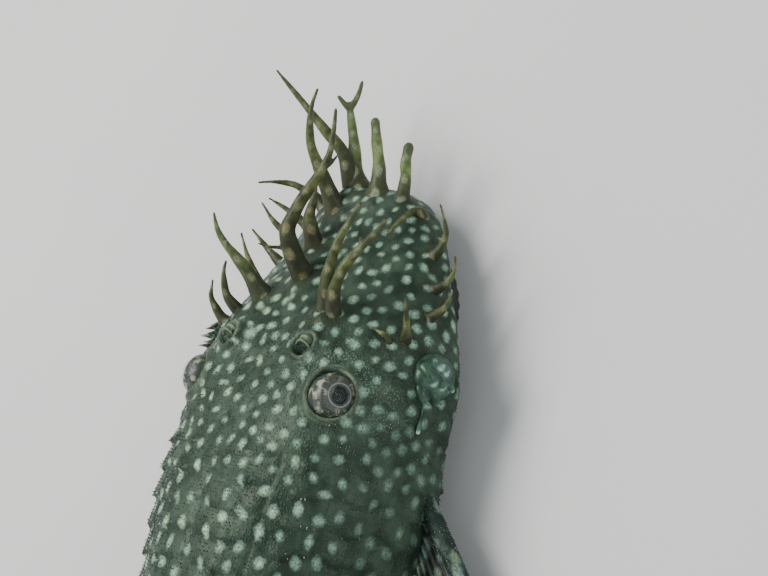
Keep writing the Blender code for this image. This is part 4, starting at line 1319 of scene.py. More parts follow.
def tentacle_line(name, spec, count):
    """Points of a tentacle from inside its root to its tip, and their shares of its length."""
    if name in TENTACLE_PATHS:
        knots = [back_place(*spec.root)] + [place(*spot) for spot in TENTACLE_PATHS[name]]
        stem = smooth_line(knots, count)
    else:
        stem = plain_stem(spec, count)
    out = back_normal(*spec.root)
    ahead = (stem[4] - stem[0]).normalized()
    sunk = out * TENTACLE_SINK * spec.width * MM * (1.2 - 0.7 * max(ahead.dot(out), 0.0))
    stem = [spot - sunk * math.exp(-((i / (0.16 * count)) ** 2)) for i, spot in enumerate(stem)]
    inward = (ahead * 0.3 + out * 0.7).normalized() * TENTACLE_ROOT_DEPTH * MM
    line = [stem[0] - inward * step for step in (1.0, 0.65, 0.3)] + stem
    shares = [-0.3, -0.2, -0.1] + [i / (count - 1) for i in range(count)]
    return line, shares


def tentacle_width(root_width, share, end):
    """Width of a tentacle that thins out steadily to its tip."""
    steady = root_width * (1.0 - (1.0 - end) * max(share, 0.0) ** 0.85)
    return max(steady, TENTACLE_TIP)


def tentacle_parts(name, spec):
    """Tubes of the stem and its forks, and sample points with their shares of the length."""
    end = TENTACLE_ENDS.get(name, TENTACLE_END)
    flare = TENTACLE_FLARES.get(name, TENTACLE_FLARE)
    line, shares = tentacle_line(name, spec, STEM_POINTS)
    beat = random.Random(str(spec.tip)).uniform(0.0, 6.28)
    radii = []
    for t in shares:
        width = tentacle_width(spec.width, t, end)
        width *= 1.0 + flare * math.exp(-((max(t, 0.0) / 0.15) ** 2))
        width *= 1.0 + 0.05 * math.sin(17.0 * t + beat)
        radii.append(0.5 * width * (1.0 + 1.5 * min(t, 0.0)) * MM)
    line.append(line[-1] + (line[-1] - line[-2]).normalized() * radii[-1] * 0.7)
    shares.append(1.0)
    radii.append(radii[-1] * 0.5)
    tubes = [tube(line, radii, 16, 0.88)]
    samples = list(zip(line, shares, radii))
    out = back_normal(*spec.root)
    for share, way, size in TENTACLE_FORKS.get(name, ()):
        k = 3 + int(share * (STEM_POINTS - 1))
        start = line[k]
        along = (line[min(k + 2, len(line) - 1)] - start).normalized()
        lean = (along * 0.1 + Vector(way).normalized()).normalized()
        fork = []
        for i in range(12):
            t = i / 11.0
            sweep = (lean * (1.0 - 0.15 * t) + along * 0.15 * t).normalized()
            fork.append(start + sweep * size * t * MM + out * 0.25 * size * (t * t - t) * MM)
        wide = 0.5 * FORK_WIDTH * (1.7 if share > 0.9 else 1.1) * MM
        sizes = [wide * (1.0 - 0.5 * i / 11.0) for i in range(12)]
        sizes[-1] *= 0.6
        tubes.append(tube(fork, sizes, 12, 0.9))
        for i, point in enumerate(fork):
            samples.append((point, share + (1.0 - share) * i / 11.0, sizes[i]))
    return tubes, samples


def tentacle_spots(samples, seed):
    """Pale spots in a loose row up each side of a tentacle."""
    draw = random.Random(seed)
    spots = []
    for look in (Vector((-0.15, -0.7, 0.7)), Vector((0.3, 0.6, -0.2))):
        last = None
        for (point, share, radius), (after, _, _) in zip(samples, samples[1:]):
            if share < 0.04 or (after - point).length > 2.0 * MM:
                continue
            gap = draw.uniform(1.9, 2.9) * MM * (1.1 - 0.3 * share)
            if last and (point - last).length < gap:
                continue
            last = point
            along = (after - point).normalized()
            facing = (look - along * along.dot(look)).normalized()
            across = along.cross(facing)
            centre = point + facing * radius + across * radius * draw.uniform(-0.25, 0.25)
            size = min(max(radius * 0.46, 0.12 * MM), 0.5 * MM)
            spots.append(Spot(centre, along, across, size * draw.uniform(1.1, 1.6), size, 0.0))
    return spots


def make_tentacles(settings):
    """Every snout tentacle as its own fused piece, spotted and tinted."""
    flesh = tentacle_material(settings)
    for number, (name, spec) in enumerate(TENTACLES.items()):
        tubes, samples = tentacle_parts(name, spec)
        piece = new_piece("tentacle_" + name, *gather(tubes), flesh)
        fuse(piece, TENTACLE_VOXEL, flesh)
        spots = mesh_points(piece.data)
        tree = kdtree.KDTree(len(samples))
        for index, (point, _, _) in enumerate(samples):
            tree.insert(point, index)
        tree.balance()
        along = [max(samples[tree.find(Vector(p))[1]][1], 0.0) for p in spots]
        distance, _ = spot_field(spots, tentacle_spots(samples, SEED_TENTACLES + number))
        store(piece, "along", along)
        store(piece, "spot", distance)
        store(piece, "tint", np.full(len(spots), spec.tint))
        finish_piece(piece, "skin", "head")


def eye_axes(hand):
    """Centre of an eye and the way it looks."""
    out = back_normal(EYE_PLACE[0], EYE_PLACE[1] * hand)
    centre = on_side(EYE_PLACE, hand) - out * EYE_SINK * MM
    return centre, Vector((0.16, 0.93 * hand, 0.36)).normalized()


def eye_material(settings):
    """Iris of dark bronze with pale flecks round a black pupil."""
    made, wires, shader = start_material(
        "eye_iris", coat_weight=0.06, coat_roughness=0.15, specular_ior_level=0.3)
    radius = wires.attribute("iris_radius")
    streak_place = wires.node("ShaderNodeCombineXYZ")
    wires.feed(streak_place.inputs["X"], wires.times(wires.attribute("iris_turn"), 9.0))
    wires.feed(streak_place.inputs["Y"], wires.times(radius, 1.4))
    streaks = wires.mottle(2.4, 4.0, streak_place.outputs[0])
    bronze = wires.mix(
        wires.span(streaks, 0.35, 0.7), colour(settings.iris_dark), colour(settings.iris_light))
    patches = wires.maths("MULTIPLY_ADD", streaks, 0.6, wires.mottle(1300.0, 3.0))
    flecks = wires.times(wires.span(patches, 0.82, 1.0), wires.span(radius, 0.5, 0.75))
    from_ring = wires.maths("ABSOLUTE", wires.maths("SUBTRACT", radius, 0.55))
    bronze = wires.mix(wires.span(from_ring, 0.0, 0.05, 0.7, 0.0), bronze, colour(settings.ring))
    bronze = wires.mix(wires.span(radius, 0.86, 1.0), bronze, colour(settings.globe))
    bronze = wires.mix(wires.times(flecks, 0.8), bronze, colour(settings.fleck))
    iris = wires.mix(wires.attribute("pupil"), bronze, (0.002, 0.002, 0.003, 1.0))
    wires.feed(shader.inputs["Base Color"], iris)
    wires.feed(shader.inputs["Roughness"], wires.span(streaks, 0.3, 0.7, 0.25, 0.42))
    add_bump(wires, shader, streaks, 0.00004, 0.6)
    return made


def cornea_material(settings):
    """Clear wet dome over the iris."""
    made, wires, shader = start_material(
        "eye_cornea", roughness=0.1, coat_weight=0.2, coat_roughness=0.05, ior=1.34,
        specular_tint=(0.75, 1.0, 0.82, 1.0))
    haze = wires.mottle(600.0)
    sheen = wires.mix(haze, colour(settings.haze), (0.06, 0.1, 0.08, 1.0))
    wires.feed(shader.inputs["Base Color"], sheen)
    wires.feed(shader.inputs["Alpha"], wires.span(haze, 0.3, 0.7, 0.06, 0.12))
    return made


def eye_sphere(name, centre, turn, radius, segments, rings, material):
    """Sphere at an eye's centre, its pole turned the way the eye looks; radius in mm."""
    select_only()
    bpy.ops.mesh.primitive_uv_sphere_add(
        segments=segments, ring_count=rings, radius=radius * MM, location=centre,
        rotation=turn.to_euler())
    sphere = bpy.context.object
    sphere.name = name
    sphere.data.materials.append(material)
    sphere.data.shade_smooth()
    select_only(sphere)
    bpy.ops.object.transform_apply(location=True, rotation=True, scale=True)
    return sphere


def shape_iris(ball, centre, turn, hand, pupil_radius):
    """Flatten an eyeball's front to an iris, with a deeper pupil under a flap of iris."""
    axes = np.array(turn.to_matrix())
    local = (mesh_points(ball.data) - np.array(centre)) @ axes
    local /= EYE_RADIUS * MM
    away = np.hypot(local[:, 0], local[:, 1])
    turn_about = np.arctan2(local[:, 1], local[:, 0])
    front = local[:, 2] > 0.0
    up = turn.inverted() @ Vector((0.35, -0.1 * hand, 1.0))
    gap = np.abs((turn_about - math.atan2(up.y, up.x) + math.pi) % (2.0 * math.pi) - math.pi)
    edge = pupil_radius * (1.0 - 0.35 * bell(gap, 0.6))
    floor = 0.62 + 0.05 * (1.0 - ease(away, edge + 0.02, IRIS_EDGE))
    sink = front & (away < IRIS_EDGE)
    depth = np.where(away < edge, PUPIL_DEPTH, floor)
    local[sink, 2] = np.minimum(local[sink, 2], depth[sink])
    moved = local * EYE_RADIUS * MM @ axes.T + np.array(centre)
    ball.data.vertices.foreach_set("co", moved.ravel())
    ball.data.update()
    store(ball, "iris_radius", np.where(front, away / IRIS_EDGE, 1.2))
    store(ball, "iris_turn", np.cos(turn_about) + 2.0 * np.sin(turn_about))
    store(ball, "pupil", np.where(front, 1.0 - ease(away, edge - 0.015, edge + 0.025), 0.0))


def make_eyes(settings):
    """Eyeballs with a sunk pupil and a flap of iris over it, under clear corneas."""
    iris = eye_material(settings)
    clear = cornea_material(settings)
    for hand, word in SIDES:
        centre, look = eye_axes(hand)
        turn = look.to_track_quat("Z", "Y")
        node = "eye_" + word
        ball = eye_sphere(node + "_iris", centre, turn, EYE_RADIUS * BALL_SHARE, 72, 64, iris)
        shape_iris(ball, centre, turn, hand, settings.pupil)
        finish_piece(ball, "eye", node)
        dome = eye_sphere(node + "_cornea", centre, turn, EYE_RADIUS, 64, 40, clear)
        finish_piece(dome, "eye", node)


def nostril_tubes(hand):
    """Arched folds of a nostril's flap with a hood and four props, and the folds' crests."""
    out = back_normal(NOSTRIL_PLACE[0], NOSTRIL_PLACE[1] * hand)
    spot = on_side(NOSTRIL_PLACE, hand) + out * (NOSTRIL_SWELL[hand] - 0.38) * MM
    across = Vector((0.0, 1.0, 0.0))
    across = (across - out * out.dot(across)).normalized()
    ahead = across.cross(out).normalized()
    if ahead.x < 0.0:
        ahead = -ahead
    tubes = []
    crests = []
    for start, tall, wide, reach in NOSTRIL_FOLDS:
        line = []
        radii = []
        for i in range(25):
            t = -1.0 + 2.0 * i / 24.0
            bow = 1.0 - t * t
            line.append(spot + across * reach * t * MM + ahead * (start + 0.45 * bow - 0.35) * MM
                        + out * (tall * bow - 0.02) * MM)
            radii.append((wide + 0.05 * bow) * MM)
        tubes.append(tube(line, radii, 12))
        crests.extend(line[3:-3])
    hood = spot + ahead * 0.5 * MM + out * 0.1 * MM
    tubes.append(ellipsoid(hood, (0.85, 1.0, 0.62), 24, 14))
    for t in (-0.55, -0.2, 0.2, 0.55):
        foot = spot + across * t * MM - out * 0.5 * MM
        top = spot + across * t * MM + ahead * 0.15 * MM + out * 0.75 * (1.0 - t * t) * MM
        tubes.append(tube([foot, (foot + top) * 0.5, top], [0.24 * MM] * 3, 10))
    return tubes, crests


def make_nostrils():
    """The standing flap that parts the two openings of each nostril."""
    flesh = bpy.data.materials["pleco_skin"]
    for hand, word in SIDES:
        tubes, crests = nostril_tubes(hand)
        flap = new_piece("nostril_flap_" + word, *gather(tubes), flesh)
        fuse(flap, NOSTRIL_VOXEL, flesh)
        spots = mesh_points(flap.data)
        for name, value in (("speck", 0.0), ("warmth", 0.1), ("belly", 0.0), ("grain", 0.4),
                            ("spot_strength_and_painted_shade", 0.0), ("tone", 0.5), ("spot", NO_SPOT)):
            store(flap, name, np.full(len(spots), value))
        near = np.min([away_mm(spots, crest) for crest in crests], axis=0)
        # Pale crests of the folds, in the mask that also holds the skin's painted highlights
        store(flap, "pale_rim_and_highlight", 0.06 + 0.7 * bell(near, 0.12))
        finish_piece(flap, "skin", "head")


def cheek_material(settings):
    """Glassy dark flesh of the cheek patch, with a painted highlight at its fingers' tips."""
    made, wires, shader = start_material(
        "cheek_flesh", coat_weight=0.16, coat_roughness=0.13, subsurface_weight=0.15,
        specular_ior_level=0.25, specular_tint=(0.6, 0.9, 0.7, 1.0),
        subsurface_radius=(0.6, 0.8, 0.8), subsurface_scale=0.0008)
    ground = clouded(wires, settings.cheek_dark, settings.cheek_light, 900.0)
    # Painted highlight at the fingers' tips
    pale = wires.mix(wires.attribute("tipward"), ground, colour(settings.cheek_tip))
    cover(wires, shader, pale, 2000.0, 0.24, 0.42)
    add_bump(wires, shader, wires.mottle(3000.0, 3.0), 0.00006, 0.6)
    return made


def cheek_lobe(root, tip, hand, size):
    """Line and radii of one fleshy finger that lies back over the cheek."""
    bow = Vector((0.1, 0.28 * hand, 0.12)) * MM
    line = [root.lerp(tip, k / 8.0) + bow * math.sin(math.pi * k / 8.0) for k in range(9)]
    radii = [size * s * MM for s in (0.8, 0.9, 0.96, 1.0, 1.0, 1.0, 0.98, 0.88, 0.6)]
    return line, radii


def cheek_fingers(hand, draw):
    """Root, tip and radius in mm of each finger, then its hook's radius and reach in mm."""
    station, side, height = CHEEK_DOME
    fingers = []
    for root, tip, size in CHEEK_FINGERS:
        ends = [Vector(place(station + back, (side + out) * hand, height + up))
                for back, out, up in (root, tip)]
        fingers.append((*ends, size, 0.07, 0.12))
    if hand < 0:
        return fingers
    for step in range(10):
        root = Vector(place(station - 2.3 + 0.52 * step, 16.0 + 0.5 * (step % 2), height + 2.1))
        lean = Vector((0.12, 0.8, 0.45 + 0.12 * (step % 3))).normalized()
        reach = draw.uniform(0.7, 1.4) * MM
        fingers.append((root - lean * 0.5 * MM, root + lean * reach, 0.3, 0.22, 0.8))
    return fingers


def cheek_hook(line, hand, thick, reach):
    """Tube of the hooked spine that a finger holds."""
    hook = [line[6]]
    start = (line[-1] - line[-2]).normalized()
    run = (line[-1] - line[6]).length / MM + reach
    for k in range(1, 9):
        way = start + Vector((-0.1, -0.12 * hand, -0.06)) * k / 8.0
        hook.append(hook[-1] + way.normalized() * run / 8.0 * MM)
    return tube(hook, [thick * (1.0 - 0.8 * (k / 8.0) ** 1.4) * MM for k in range(9)], 8)


def make_cheeks(settings):
    """Swollen cheek patches: a glassy dome with fleshy fingers and a spine in each."""
    flesh = cheek_material(settings)
    horn = odontode_material("cheek_spine", settings.spine_root, settings.spine_tip)
    station, side, height = CHEEK_DOME
    for hand, word in SIDES:
        node = "cheek_spines_" + word
        draw = random.Random(SEED_CHEEKS + hand)
        parts = [ellipsoid(Vector(place(station, side * hand, height)), CHEEK_HALVES, 32, 20)]
        spines = []
        tips = []
        for root, tip, size, thick, reach in cheek_fingers(hand, draw):
            line, radii = cheek_lobe(root, tip, hand, size)
            parts.append(tube(line, radii, 14))
            if thick < 0.2:
                tips.append(line[-1])
            spines.append(cheek_hook(line, hand, thick, reach))
        for step in range(4):
            fold = [back_place(16.0 + 0.38 * step + 0.12 * abs(k), (14.0 - 0.3 * k) * hand)
                    for k in (-1.2, -0.6, 0.0, 0.6, 1.2)]
            parts.append(tube(fold, [s * MM for s in (0.05, 0.12, 0.15, 0.12, 0.05)], 10))
        thread = [Vector(place(station + 2.4 + 0.55 * k, (side + 0.75) * hand, height + 1.25))
                  for k in range(7)]
        parts.append(tube(thread, [s * MM for s in (0.08, 0.09, 0.11, 0.15, 0.21, 0.27, 0.2)], 10))
        tips.append(thread[-1])
        dome = new_piece("cheek_flesh_" + word, *gather(parts), flesh)
        fuse(dome, CHEEK_VOXEL, flesh)
        spots = mesh_points(dome.data)
        near = np.min([away_mm(spots, tip) for tip in tips], axis=0)
        # Painted highlight: pale tips on the fingers and the thread, with a faint wider halo
        glow = 0.9 * (1.0 - ease(near, 0.2, 0.52)) + 0.16 * bell(near, 0.9)
        store(dome, "tipward", np.clip(glow, 0.0, 1.0))
        finish_piece(dome, "spine", node)
        spikes = new_piece(node + "_hooks", *gather(spines), horn)
        store(spikes, "tipward", tube_marks(9, 8, len(spines)))
        finish_piece(spikes, "spine", node)


def ellipsoid(centre, halves, sides, rings):
    """Points and faces of a closed rounded lump, halves in mm."""
    points = []
    for i in range(1, rings):
        rise = math.pi * i / rings
        for j in range(sides):
            turn = 2.0 * math.pi * j / sides
            way = Vector((math.sin(rise) * math.cos(turn) * halves[0],
                          math.sin(rise) * math.sin(turn) * halves[1], math.cos(rise) * halves[2]))
            points.append(centre + way * MM)
    faces = [(a, d, c, b) for a, b, c, d in ring_faces(rings - 1, sides)]
    pole = Vector((0.0, 0.0, halves[2])) * MM
    points.extend((centre + pole, centre - pole))
    last = (rings - 2) * sides
    for j in range(sides):
        k = (j + 1) % sides
        faces.append((len(points) - 2, j, k))
        faces.append((len(points) - 1, last + k, last + j))
    return np.array([tuple(p) for p in points]), faces


def mouth_material(settings):
    """Soft tan lips, paler on the papillae."""
    made, wires, shader = start_material(
        "mouth_flesh", coat_weight=0.3, coat_roughness=0.2, subsurface_weight=0.35,
        subsurface_radius=(1.0, 0.6, 0.45), subsurface_scale=0.0008)
    ground = clouded(wires, settings.lip_dark, settings.lip_light, 500.0)
    pale = wires.mix(wires.attribute("papilla"), ground, colour(settings.papilla))
    pale = wires.mix(wires.attribute("upper_side"), pale, colour(settings.upper_side))
    cover(wires, shader, pale, 1500.0, 0.38, 0.58)
    add_bump(wires, shader, wires.mottle(3500.0, 3.0), 0.00006, 0.6)
    return made


def lip_heights(share, turn, station, side):
    """Heights in mm of the lips' lower and upper face, and how much each point is a papilla."""
    inner, outer = MOUTH_RIM
    hollow = MOUTH_HOLLOW * (1.0 - np.minimum(share / inner, 1.0) ** 3)
    along = station - MOUTH_STATION + 2.0
    gape = 1.1 * np.exp(-((along / 1.0) ** 2) - ((side / 3.3) ** 4))
    lips = 0.3 * np.exp(-(((np.abs(along) - 1.5) / 0.5) ** 2) - ((side / 3.8) ** 4))
    edge = MOUTH_EDGE * ease(share, outer, 1.0)
    rows = np.round(share * PAPILLA_ROWS)
    grid_turn = turn * np.maximum(rows, 1.0) * 1.1
    studs = 0.5 + 0.5 * np.cos(share * PAPILLA_ROWS * 2.0 * math.pi)
    studs = studs * (0.5 + 0.5 * np.cos(grid_turn * 2.0 + rows))
    wrinkle = band(share, *PAPILLA_BAND) * (1.0 - np.clip(gape, 0, 1))
    fringe = 0.12 * np.cos(turn * 42.0) * ease(share, 0.86, 0.98)
    low = hollow + gape - lips + edge - 0.22 * studs * wrinkle - fringe + 0.06
    under = np.maximum(low, FLOOR_CLEARANCE)
    roof = belly_height(station, side) + 0.5 * (1.0 - ease(share, 0.75, 1.0)) + 0.3
    return under, np.maximum(roof, under + 0.12), studs * wrinkle


def lip_faces(rings, sides):
    """Faces of a disc's lower and upper face, of its rim and of both middles."""
    count = rings * sides
    walls = ring_faces(rings, sides)
    faces = [(b, c, d, a) for a, b, c, d in walls]
    faces += [(count + a, count + d, count + c, count + b) for a, b, c, d in walls]
    rim = count - sides
    for j in range(sides):
        k = (j + 1) % sides
        faces.append((count + rim + j, count + rim + k, rim + k, rim + j))
        faces.append((j, k, 2 * count))
        faces.append((count + k, count + j, 2 * count + 1))
    return faces


def make_lips(flesh):
    """Sucker disc with papillae, a fringe and a gape."""
    sides = 168
    shares = np.linspace(0.02, 1.0, 54)
    turns = np.linspace(0.0, 2.0 * math.pi, sides, endpoint=False)
    share, turn = (grid.ravel() for grid in np.meshgrid(shares, turns, indexing="ij"))
    station = MOUTH_STATION + MOUTH_HALF[0] * share * np.cos(turn)
    side = MOUTH_HALF[1] * share * np.sin(turn)
    under, roof, papilla = lip_heights(share, turn, station, side)
    middle = [place(MOUTH_STATION, 0.0, under[0]), place(MOUTH_STATION, 0.0, roof[0])]
    points = np.concatenate([place(station, side, under), place(station, side, roof), middle])
    disc = new_piece("mouth_lips", points, lip_faces(len(shares), sides), flesh)
    turn_faces_out(disc)
    upper = len(share) + 2
    store(disc, "papilla", 0.8 * np.concatenate([papilla, np.zeros(upper)]))
    store(disc, "upper_side", np.concatenate([ease(share, 0.93, 1.0), np.ones(upper)]))
    finish_piece(disc, "mouth", "mouth_disc")


def make_barbels(flesh):
    """The barbel at each corner of the mouth."""
    root_station, root_side, reach, width = BARBEL
    shares = [i / 19.0 for i in range(20)]
    radii = [0.5 * width * (1.0 - 0.75 * t ** 1.2) * MM for t in shares]
    for hand, word in SIDES:
        line = [place(root_station - 1.0 + (reach + 1.0) * t,
                      (root_side - 2.2 + 2.8 * t ** 0.8) * hand, 0.95 - 0.5 * t) for t in shares]
        points, faces = tube(line, radii, 14)
        barbel = new_piece("barbel_" + word, points, faces, flesh)
        store(barbel, "papilla", np.zeros(len(points)))
        store(barbel, "upper_side", np.full(len(points), 0.8))
        finish_piece(barbel, "mouth", "mouth_disc")


def make_jaw_teeth(horn):
    """The combs of fine hooked teeth in the gape, a left and a right one on each jaw."""
    combs = []
    radii = [0.055 * (1.0 - 0.5 * k / 5.0) * MM for k in range(6)]
    for jaw in (1, -1):
        for i in range(44):
            t = (i + 0.5) / 44.0 * 2.0 - 1.0
            if abs(t) < 0.08:
                continue
            start = MOUTH_STATION - 2.0 + jaw * (0.95 - 0.35 * abs(t))
            hook = [place(start - jaw * 0.35 * s * s, 2.9 * t, 1.05 - 0.62 * s)
                    for s in (k / 5.0 for k in range(6))]
            combs.append(tube(hook, radii, 6))
    teeth = new_piece("jaw_teeth", *gather(combs), horn)
    store(teeth, "tipward", tube_marks(6, 6, len(combs)))
    finish_piece(teeth, "mouth", "mouth_disc")


def make_mouth(settings):
    """Lips, barbels and jaw teeth."""
    flesh = mouth_material(settings)
    make_lips(flesh)
    make_barbels(flesh)
    make_jaw_teeth(odontode_material("jaw_teeth", settings.tooth_root, settings.tooth_tip))


def turn_faces_out(piece):
    """Turn every face of a closed piece out."""
    work = bmesh.new()
    work.from_mesh(piece.data)
    bmesh.ops.recalc_face_normals(work, faces=work.faces)
    work.to_mesh(piece.data)
    work.free()


def fan_surface(fin, hand, across, out):
    """Points of a fin's middle sheet; across runs from the first ray to the last."""
    first_root, first_tip = (np.array(p) for p in fin.first)
    last_root, last_tip = (np.array(p) for p in fin.last)
    share = across[..., None]
    root = first_root * (1.0 - share) + last_root * share
    tip = first_tip * (1.0 - share) + last_tip * share
    tip = tip + (tip - root) * fin.swell * 4.0 * share * (1.0 - share)
    lean = np.array(fin.bow)
    way = (tip - root) / np.linalg.norm(tip - root, axis=-1, keepdims=True)
    root = root - way * FIN_ROOT_SINK
    reach = out[..., None]
    spots = root * (1.0 - reach) + tip * reach + lean * 4.0 * reach * (1.0 - reach)
    flip = np.array((1.0, float(hand), 1.0))
    return spots * flip


def tail_surface(across, out):
    """Points of the tail fin's middle sheet, longer at its two edges."""
    edge = 2.0 * across - 1.0
    start = STANDARD_LENGTH - FIN_ROOT_SINK
    reach = 24.5 + 5.0 * edge ** 2 + 3.5 * across + 0.3 + FIN_ROOT_SINK
    height = 13.2 - 8.0 * across
    height = height * (1.0 - out) + (25.5 - 24.3 * across) * out
    height = height - 1.1 * edge * 4.0 * out * (1.0 - out)
    return np.stack([start + reach * out, np.zeros_like(out), height], axis=-1)


def ray_pattern(offset, out):
    """How much each point of a fin is ray; the rays fork twice on the way out."""
    split = 0.13 * ease(out, 0.34, 0.62) + 0.02
    twig = 0.07 * ease(out, 0.66, 0.92)
    ray = np.zeros_like(out)
    for branch in (-1.0, 1.0):
        for leaf in (-1.0, 1.0):
            away = offset - branch * split - leaf * twig * 0.8
            ray = np.maximum(ray, bell(away, 0.055 + 0.02 * out))
    return ray


def sheet_faces(columns):
    """Faces of a fin's front sheet, of its back sheet and of the rim between them."""
    size = columns * FIN_ROWS
    faces = []
    for i in range(columns - 1):
        for j in range(FIN_ROWS - 1):
            a = i * FIN_ROWS + j
            quad = (a, a + FIN_ROWS, a + FIN_ROWS + 1, a + 1)
            faces.append(quad)
            faces.append(tuple(size + v for v in reversed(quad)))
    grid = np.arange(size).reshape(columns, FIN_ROWS)
    rim = np.concatenate([grid[:, 0], grid[-1, 1:], grid[-2::-1, -1], grid[0, -2:0:-1]]).tolist()
    for a, b in zip(rim, rim[1:] + rim[:1]):
        faces.append((b, a, size + a, size + b))
    return faces


def make_fin(name, node, surface, rays, web, seed):
    """A fin sheet with forked rays raised on both faces, spots and a soft edge."""
    columns = (rays - 1) * FIN_COLUMNS + 1
    across, out = np.meshgrid(
        np.linspace(0.0, 1.0, columns), np.linspace(0.0, 1.0, FIN_ROWS), indexing="ij")
    local = across * (rays - 1)
    offset = local - np.round(local)
    ray = ray_pattern(offset, out)
    notch = 0.03 * np.abs(offset) * 2.0
    sheet = surface(across, out * (1.0 - notch * out ** 4))
    middle = place(sheet[..., 0], sheet[..., 1], sheet[..., 2])
    normal = np.cross(np.gradient(middle, axis=0), np.gradient(middle, axis=1))
    normal /= np.maximum(np.linalg.norm(normal, axis=-1, keepdims=True), 1e-12)
    thick = web + (RAY_HALF - web) * ray * (1.0 - 0.72 * out)
    thick = thick + 0.35 * bell(out, 0.07) * (0.4 + 0.6 * ray)
    thick = thick * (1.0 - 0.65 * ease(out, 0.93, 1.0))
    ripple = 0.16 * np.sin(local * 2.0 * math.pi + 0.6) * out ** 2
    middle = middle + normal * (ripple * (1.0 - ray))[..., None] * MM
    lift = normal * thick[..., None] * MM
    points = np.concatenate([(middle + lift).reshape(-1, 3), (middle - lift).reshape(-1, 3)])
    points[:, 2] = np.maximum(points[:, 2], FLOOR_CLEARANCE * MM)
    piece = new_piece(name, points, sheet_faces(columns), bpy.data.materials["fin_web"])
    run = np.linalg.norm(np.diff(middle, axis=1), axis=-1).cumsum(axis=1) / MM
    run = np.concatenate([np.zeros((columns, 1)), run], axis=1)
    distance, tone = spot_field(points, fin_spots(middle, run, rays, seed))
    store(piece, "spot", distance)
    store(piece, "tone", tone)
    store(piece, "ray", np.tile(ray.ravel(), 2))
    store(piece, "along_mm", np.tile(run.ravel(), 2))
    finish_piece(piece, "fin", node)


def fin_spots(middle, run, rays, seed):
    """Spots in rows along the rays, staggered from ray to ray; run is the way out in mm."""
    draw = random.Random(seed)
    last = middle.shape[0] - 1
    spots = []
    for column in range(0, rays * FIN_COLUMNS, FIN_COLUMNS):
        at = draw.uniform(1.6, 3.0)
        while at < run[column][-1] - 1.0:
            row = int(np.searchsorted(run[column], at))
            beside = min(max(column + draw.choice((-2, -1, 0, 1, 2)), 0), last)
            centre = Vector(middle[beside][row])
            ahead = Vector(middle[column][min(row + 1, FIN_ROWS - 1)])
            along = (ahead - Vector(middle[column][row - 1])).normalized()
            nearby = Vector(middle[min(beside + 1, last)][row])
            nearby -= Vector(middle[max(beside - 1, 0)][row])
            across = (nearby - along * along.dot(nearby)).normalized()
            size = draw.uniform(0.42, 0.62) * MM
            long = size * draw.uniform(1.0, 1.6)
            spots.append(Spot(centre, along, across, long, size, draw.random()))
            at += draw.uniform(2.3, 3.4)
    return spots


def spine_spots(line, radii, draw):
    """Pale spots in pairs on opposite sides of a spine."""
    along, left, up = frames_along(line)
    spots = []
    for k in range(4, len(line) - 4, 5):
        turn = draw.uniform(0.0, 2.0 * math.pi)
        way = left[k] * math.cos(turn) + up[k] * math.sin(turn)
        size = radii[k] * 0.62
        for at, side, long, wide in ((k, way, 1.5, 1.0), (k + 2, -way, 1.3, 0.9)):
            spots.append(Spot(
                Vector(line[at] + side * radii[at]), Vector(along[k]),
                Vector(np.cross(along[k], side)), size * long, size * wide, draw.random()))
    return spots


def spine_teeth(name, line, radii, leading_side, draw, teeth_per_mm):
    """Odontodes along a spine, longest near the tip on its leading side."""
    along, left, up = frames_along(line)
    roots = []
    outs = []
    leans = []
    lengths = []
    where = []
    for k in range(2, len(line) - 1):
        share = k / len(line)
        step = np.linalg.norm(line[k] - line[k - 1]) / MM
        for _ in range(int(teeth_per_mm * step + draw.random())):
            turn = draw.uniform(0.0, 2.0 * math.pi)
            way = left[k] * math.cos(turn) + up[k] * math.sin(turn)
            leading = max(float(way @ leading_side), 0.0)
            shift = line[k - 1] + (line[k] - line[k - 1]) * draw.random()
            roots.append(shift + way * radii[k] * 0.98)
            outs.append(way)
            leans.append(along[k] * 1.6)
            lengths.append((0.15 + 0.3 * leading * share) * MM * draw.uniform(0.8, 1.2))
            where.append((0.1 + 0.8 * share, 0.05 + 0.9 * turn / (2.0 * math.pi)))
    widths = [0.14 * MM * draw.uniform(0.8, 1.2) for _ in roots]
    make_odontodes(
        name, roots, np.array(outs), np.array(leans), lengths, widths, where,
        bpy.data.materials["spine_teeth"], "fin")


def make_spine(name, node, line, radii, leading_side, seed, teeth_per_mm):
    """Stout front ray of a fin, spotted and set with odontodes."""
    points, faces = tube(line, radii, 28, 0.86, 5, 0.05)
    piece = new_piece(name, points, faces, bpy.data.materials["fin_spine"])
    draw = random.Random(seed)
    distance, tone = spot_field(points, spine_spots(line, radii, draw))
    store(piece, "spot", distance)
    store(piece, "tone", tone)
    finish_piece(piece, "fin", node)
    spine_teeth(name + "_teeth", line, radii, leading_side, draw, teeth_per_mm)


def edge_spine(surface, edge, shift, reach, count, base):
    """Line and radii in metres of a spine just outside a fin's first (0) or last (1) ray."""
    out = np.linspace(0.0, reach, count)
    first = surface(np.full(count, edge), out)
    away = first - surface(np.full(count, 0.05 + 0.9 * edge), out)
    away /= np.linalg.norm(away, axis=1, keepdims=True)
    line = first + away * shift * (1.0 - 0.5 * out)[:, None]
    line = place(line[:, 0], line[:, 1], line[:, 2])
    share = np.linspace(0.0, 1.0, count)
    radii = base * (1.0 - 0.68 * share ** 1.2) * (1.0 - 0.75 * ease(share, 0.96, 1.0)) * MM
    line[:, 2] = np.maximum(line[:, 2], radii + FLOOR_CLEARANCE * MM)
    return line, radii


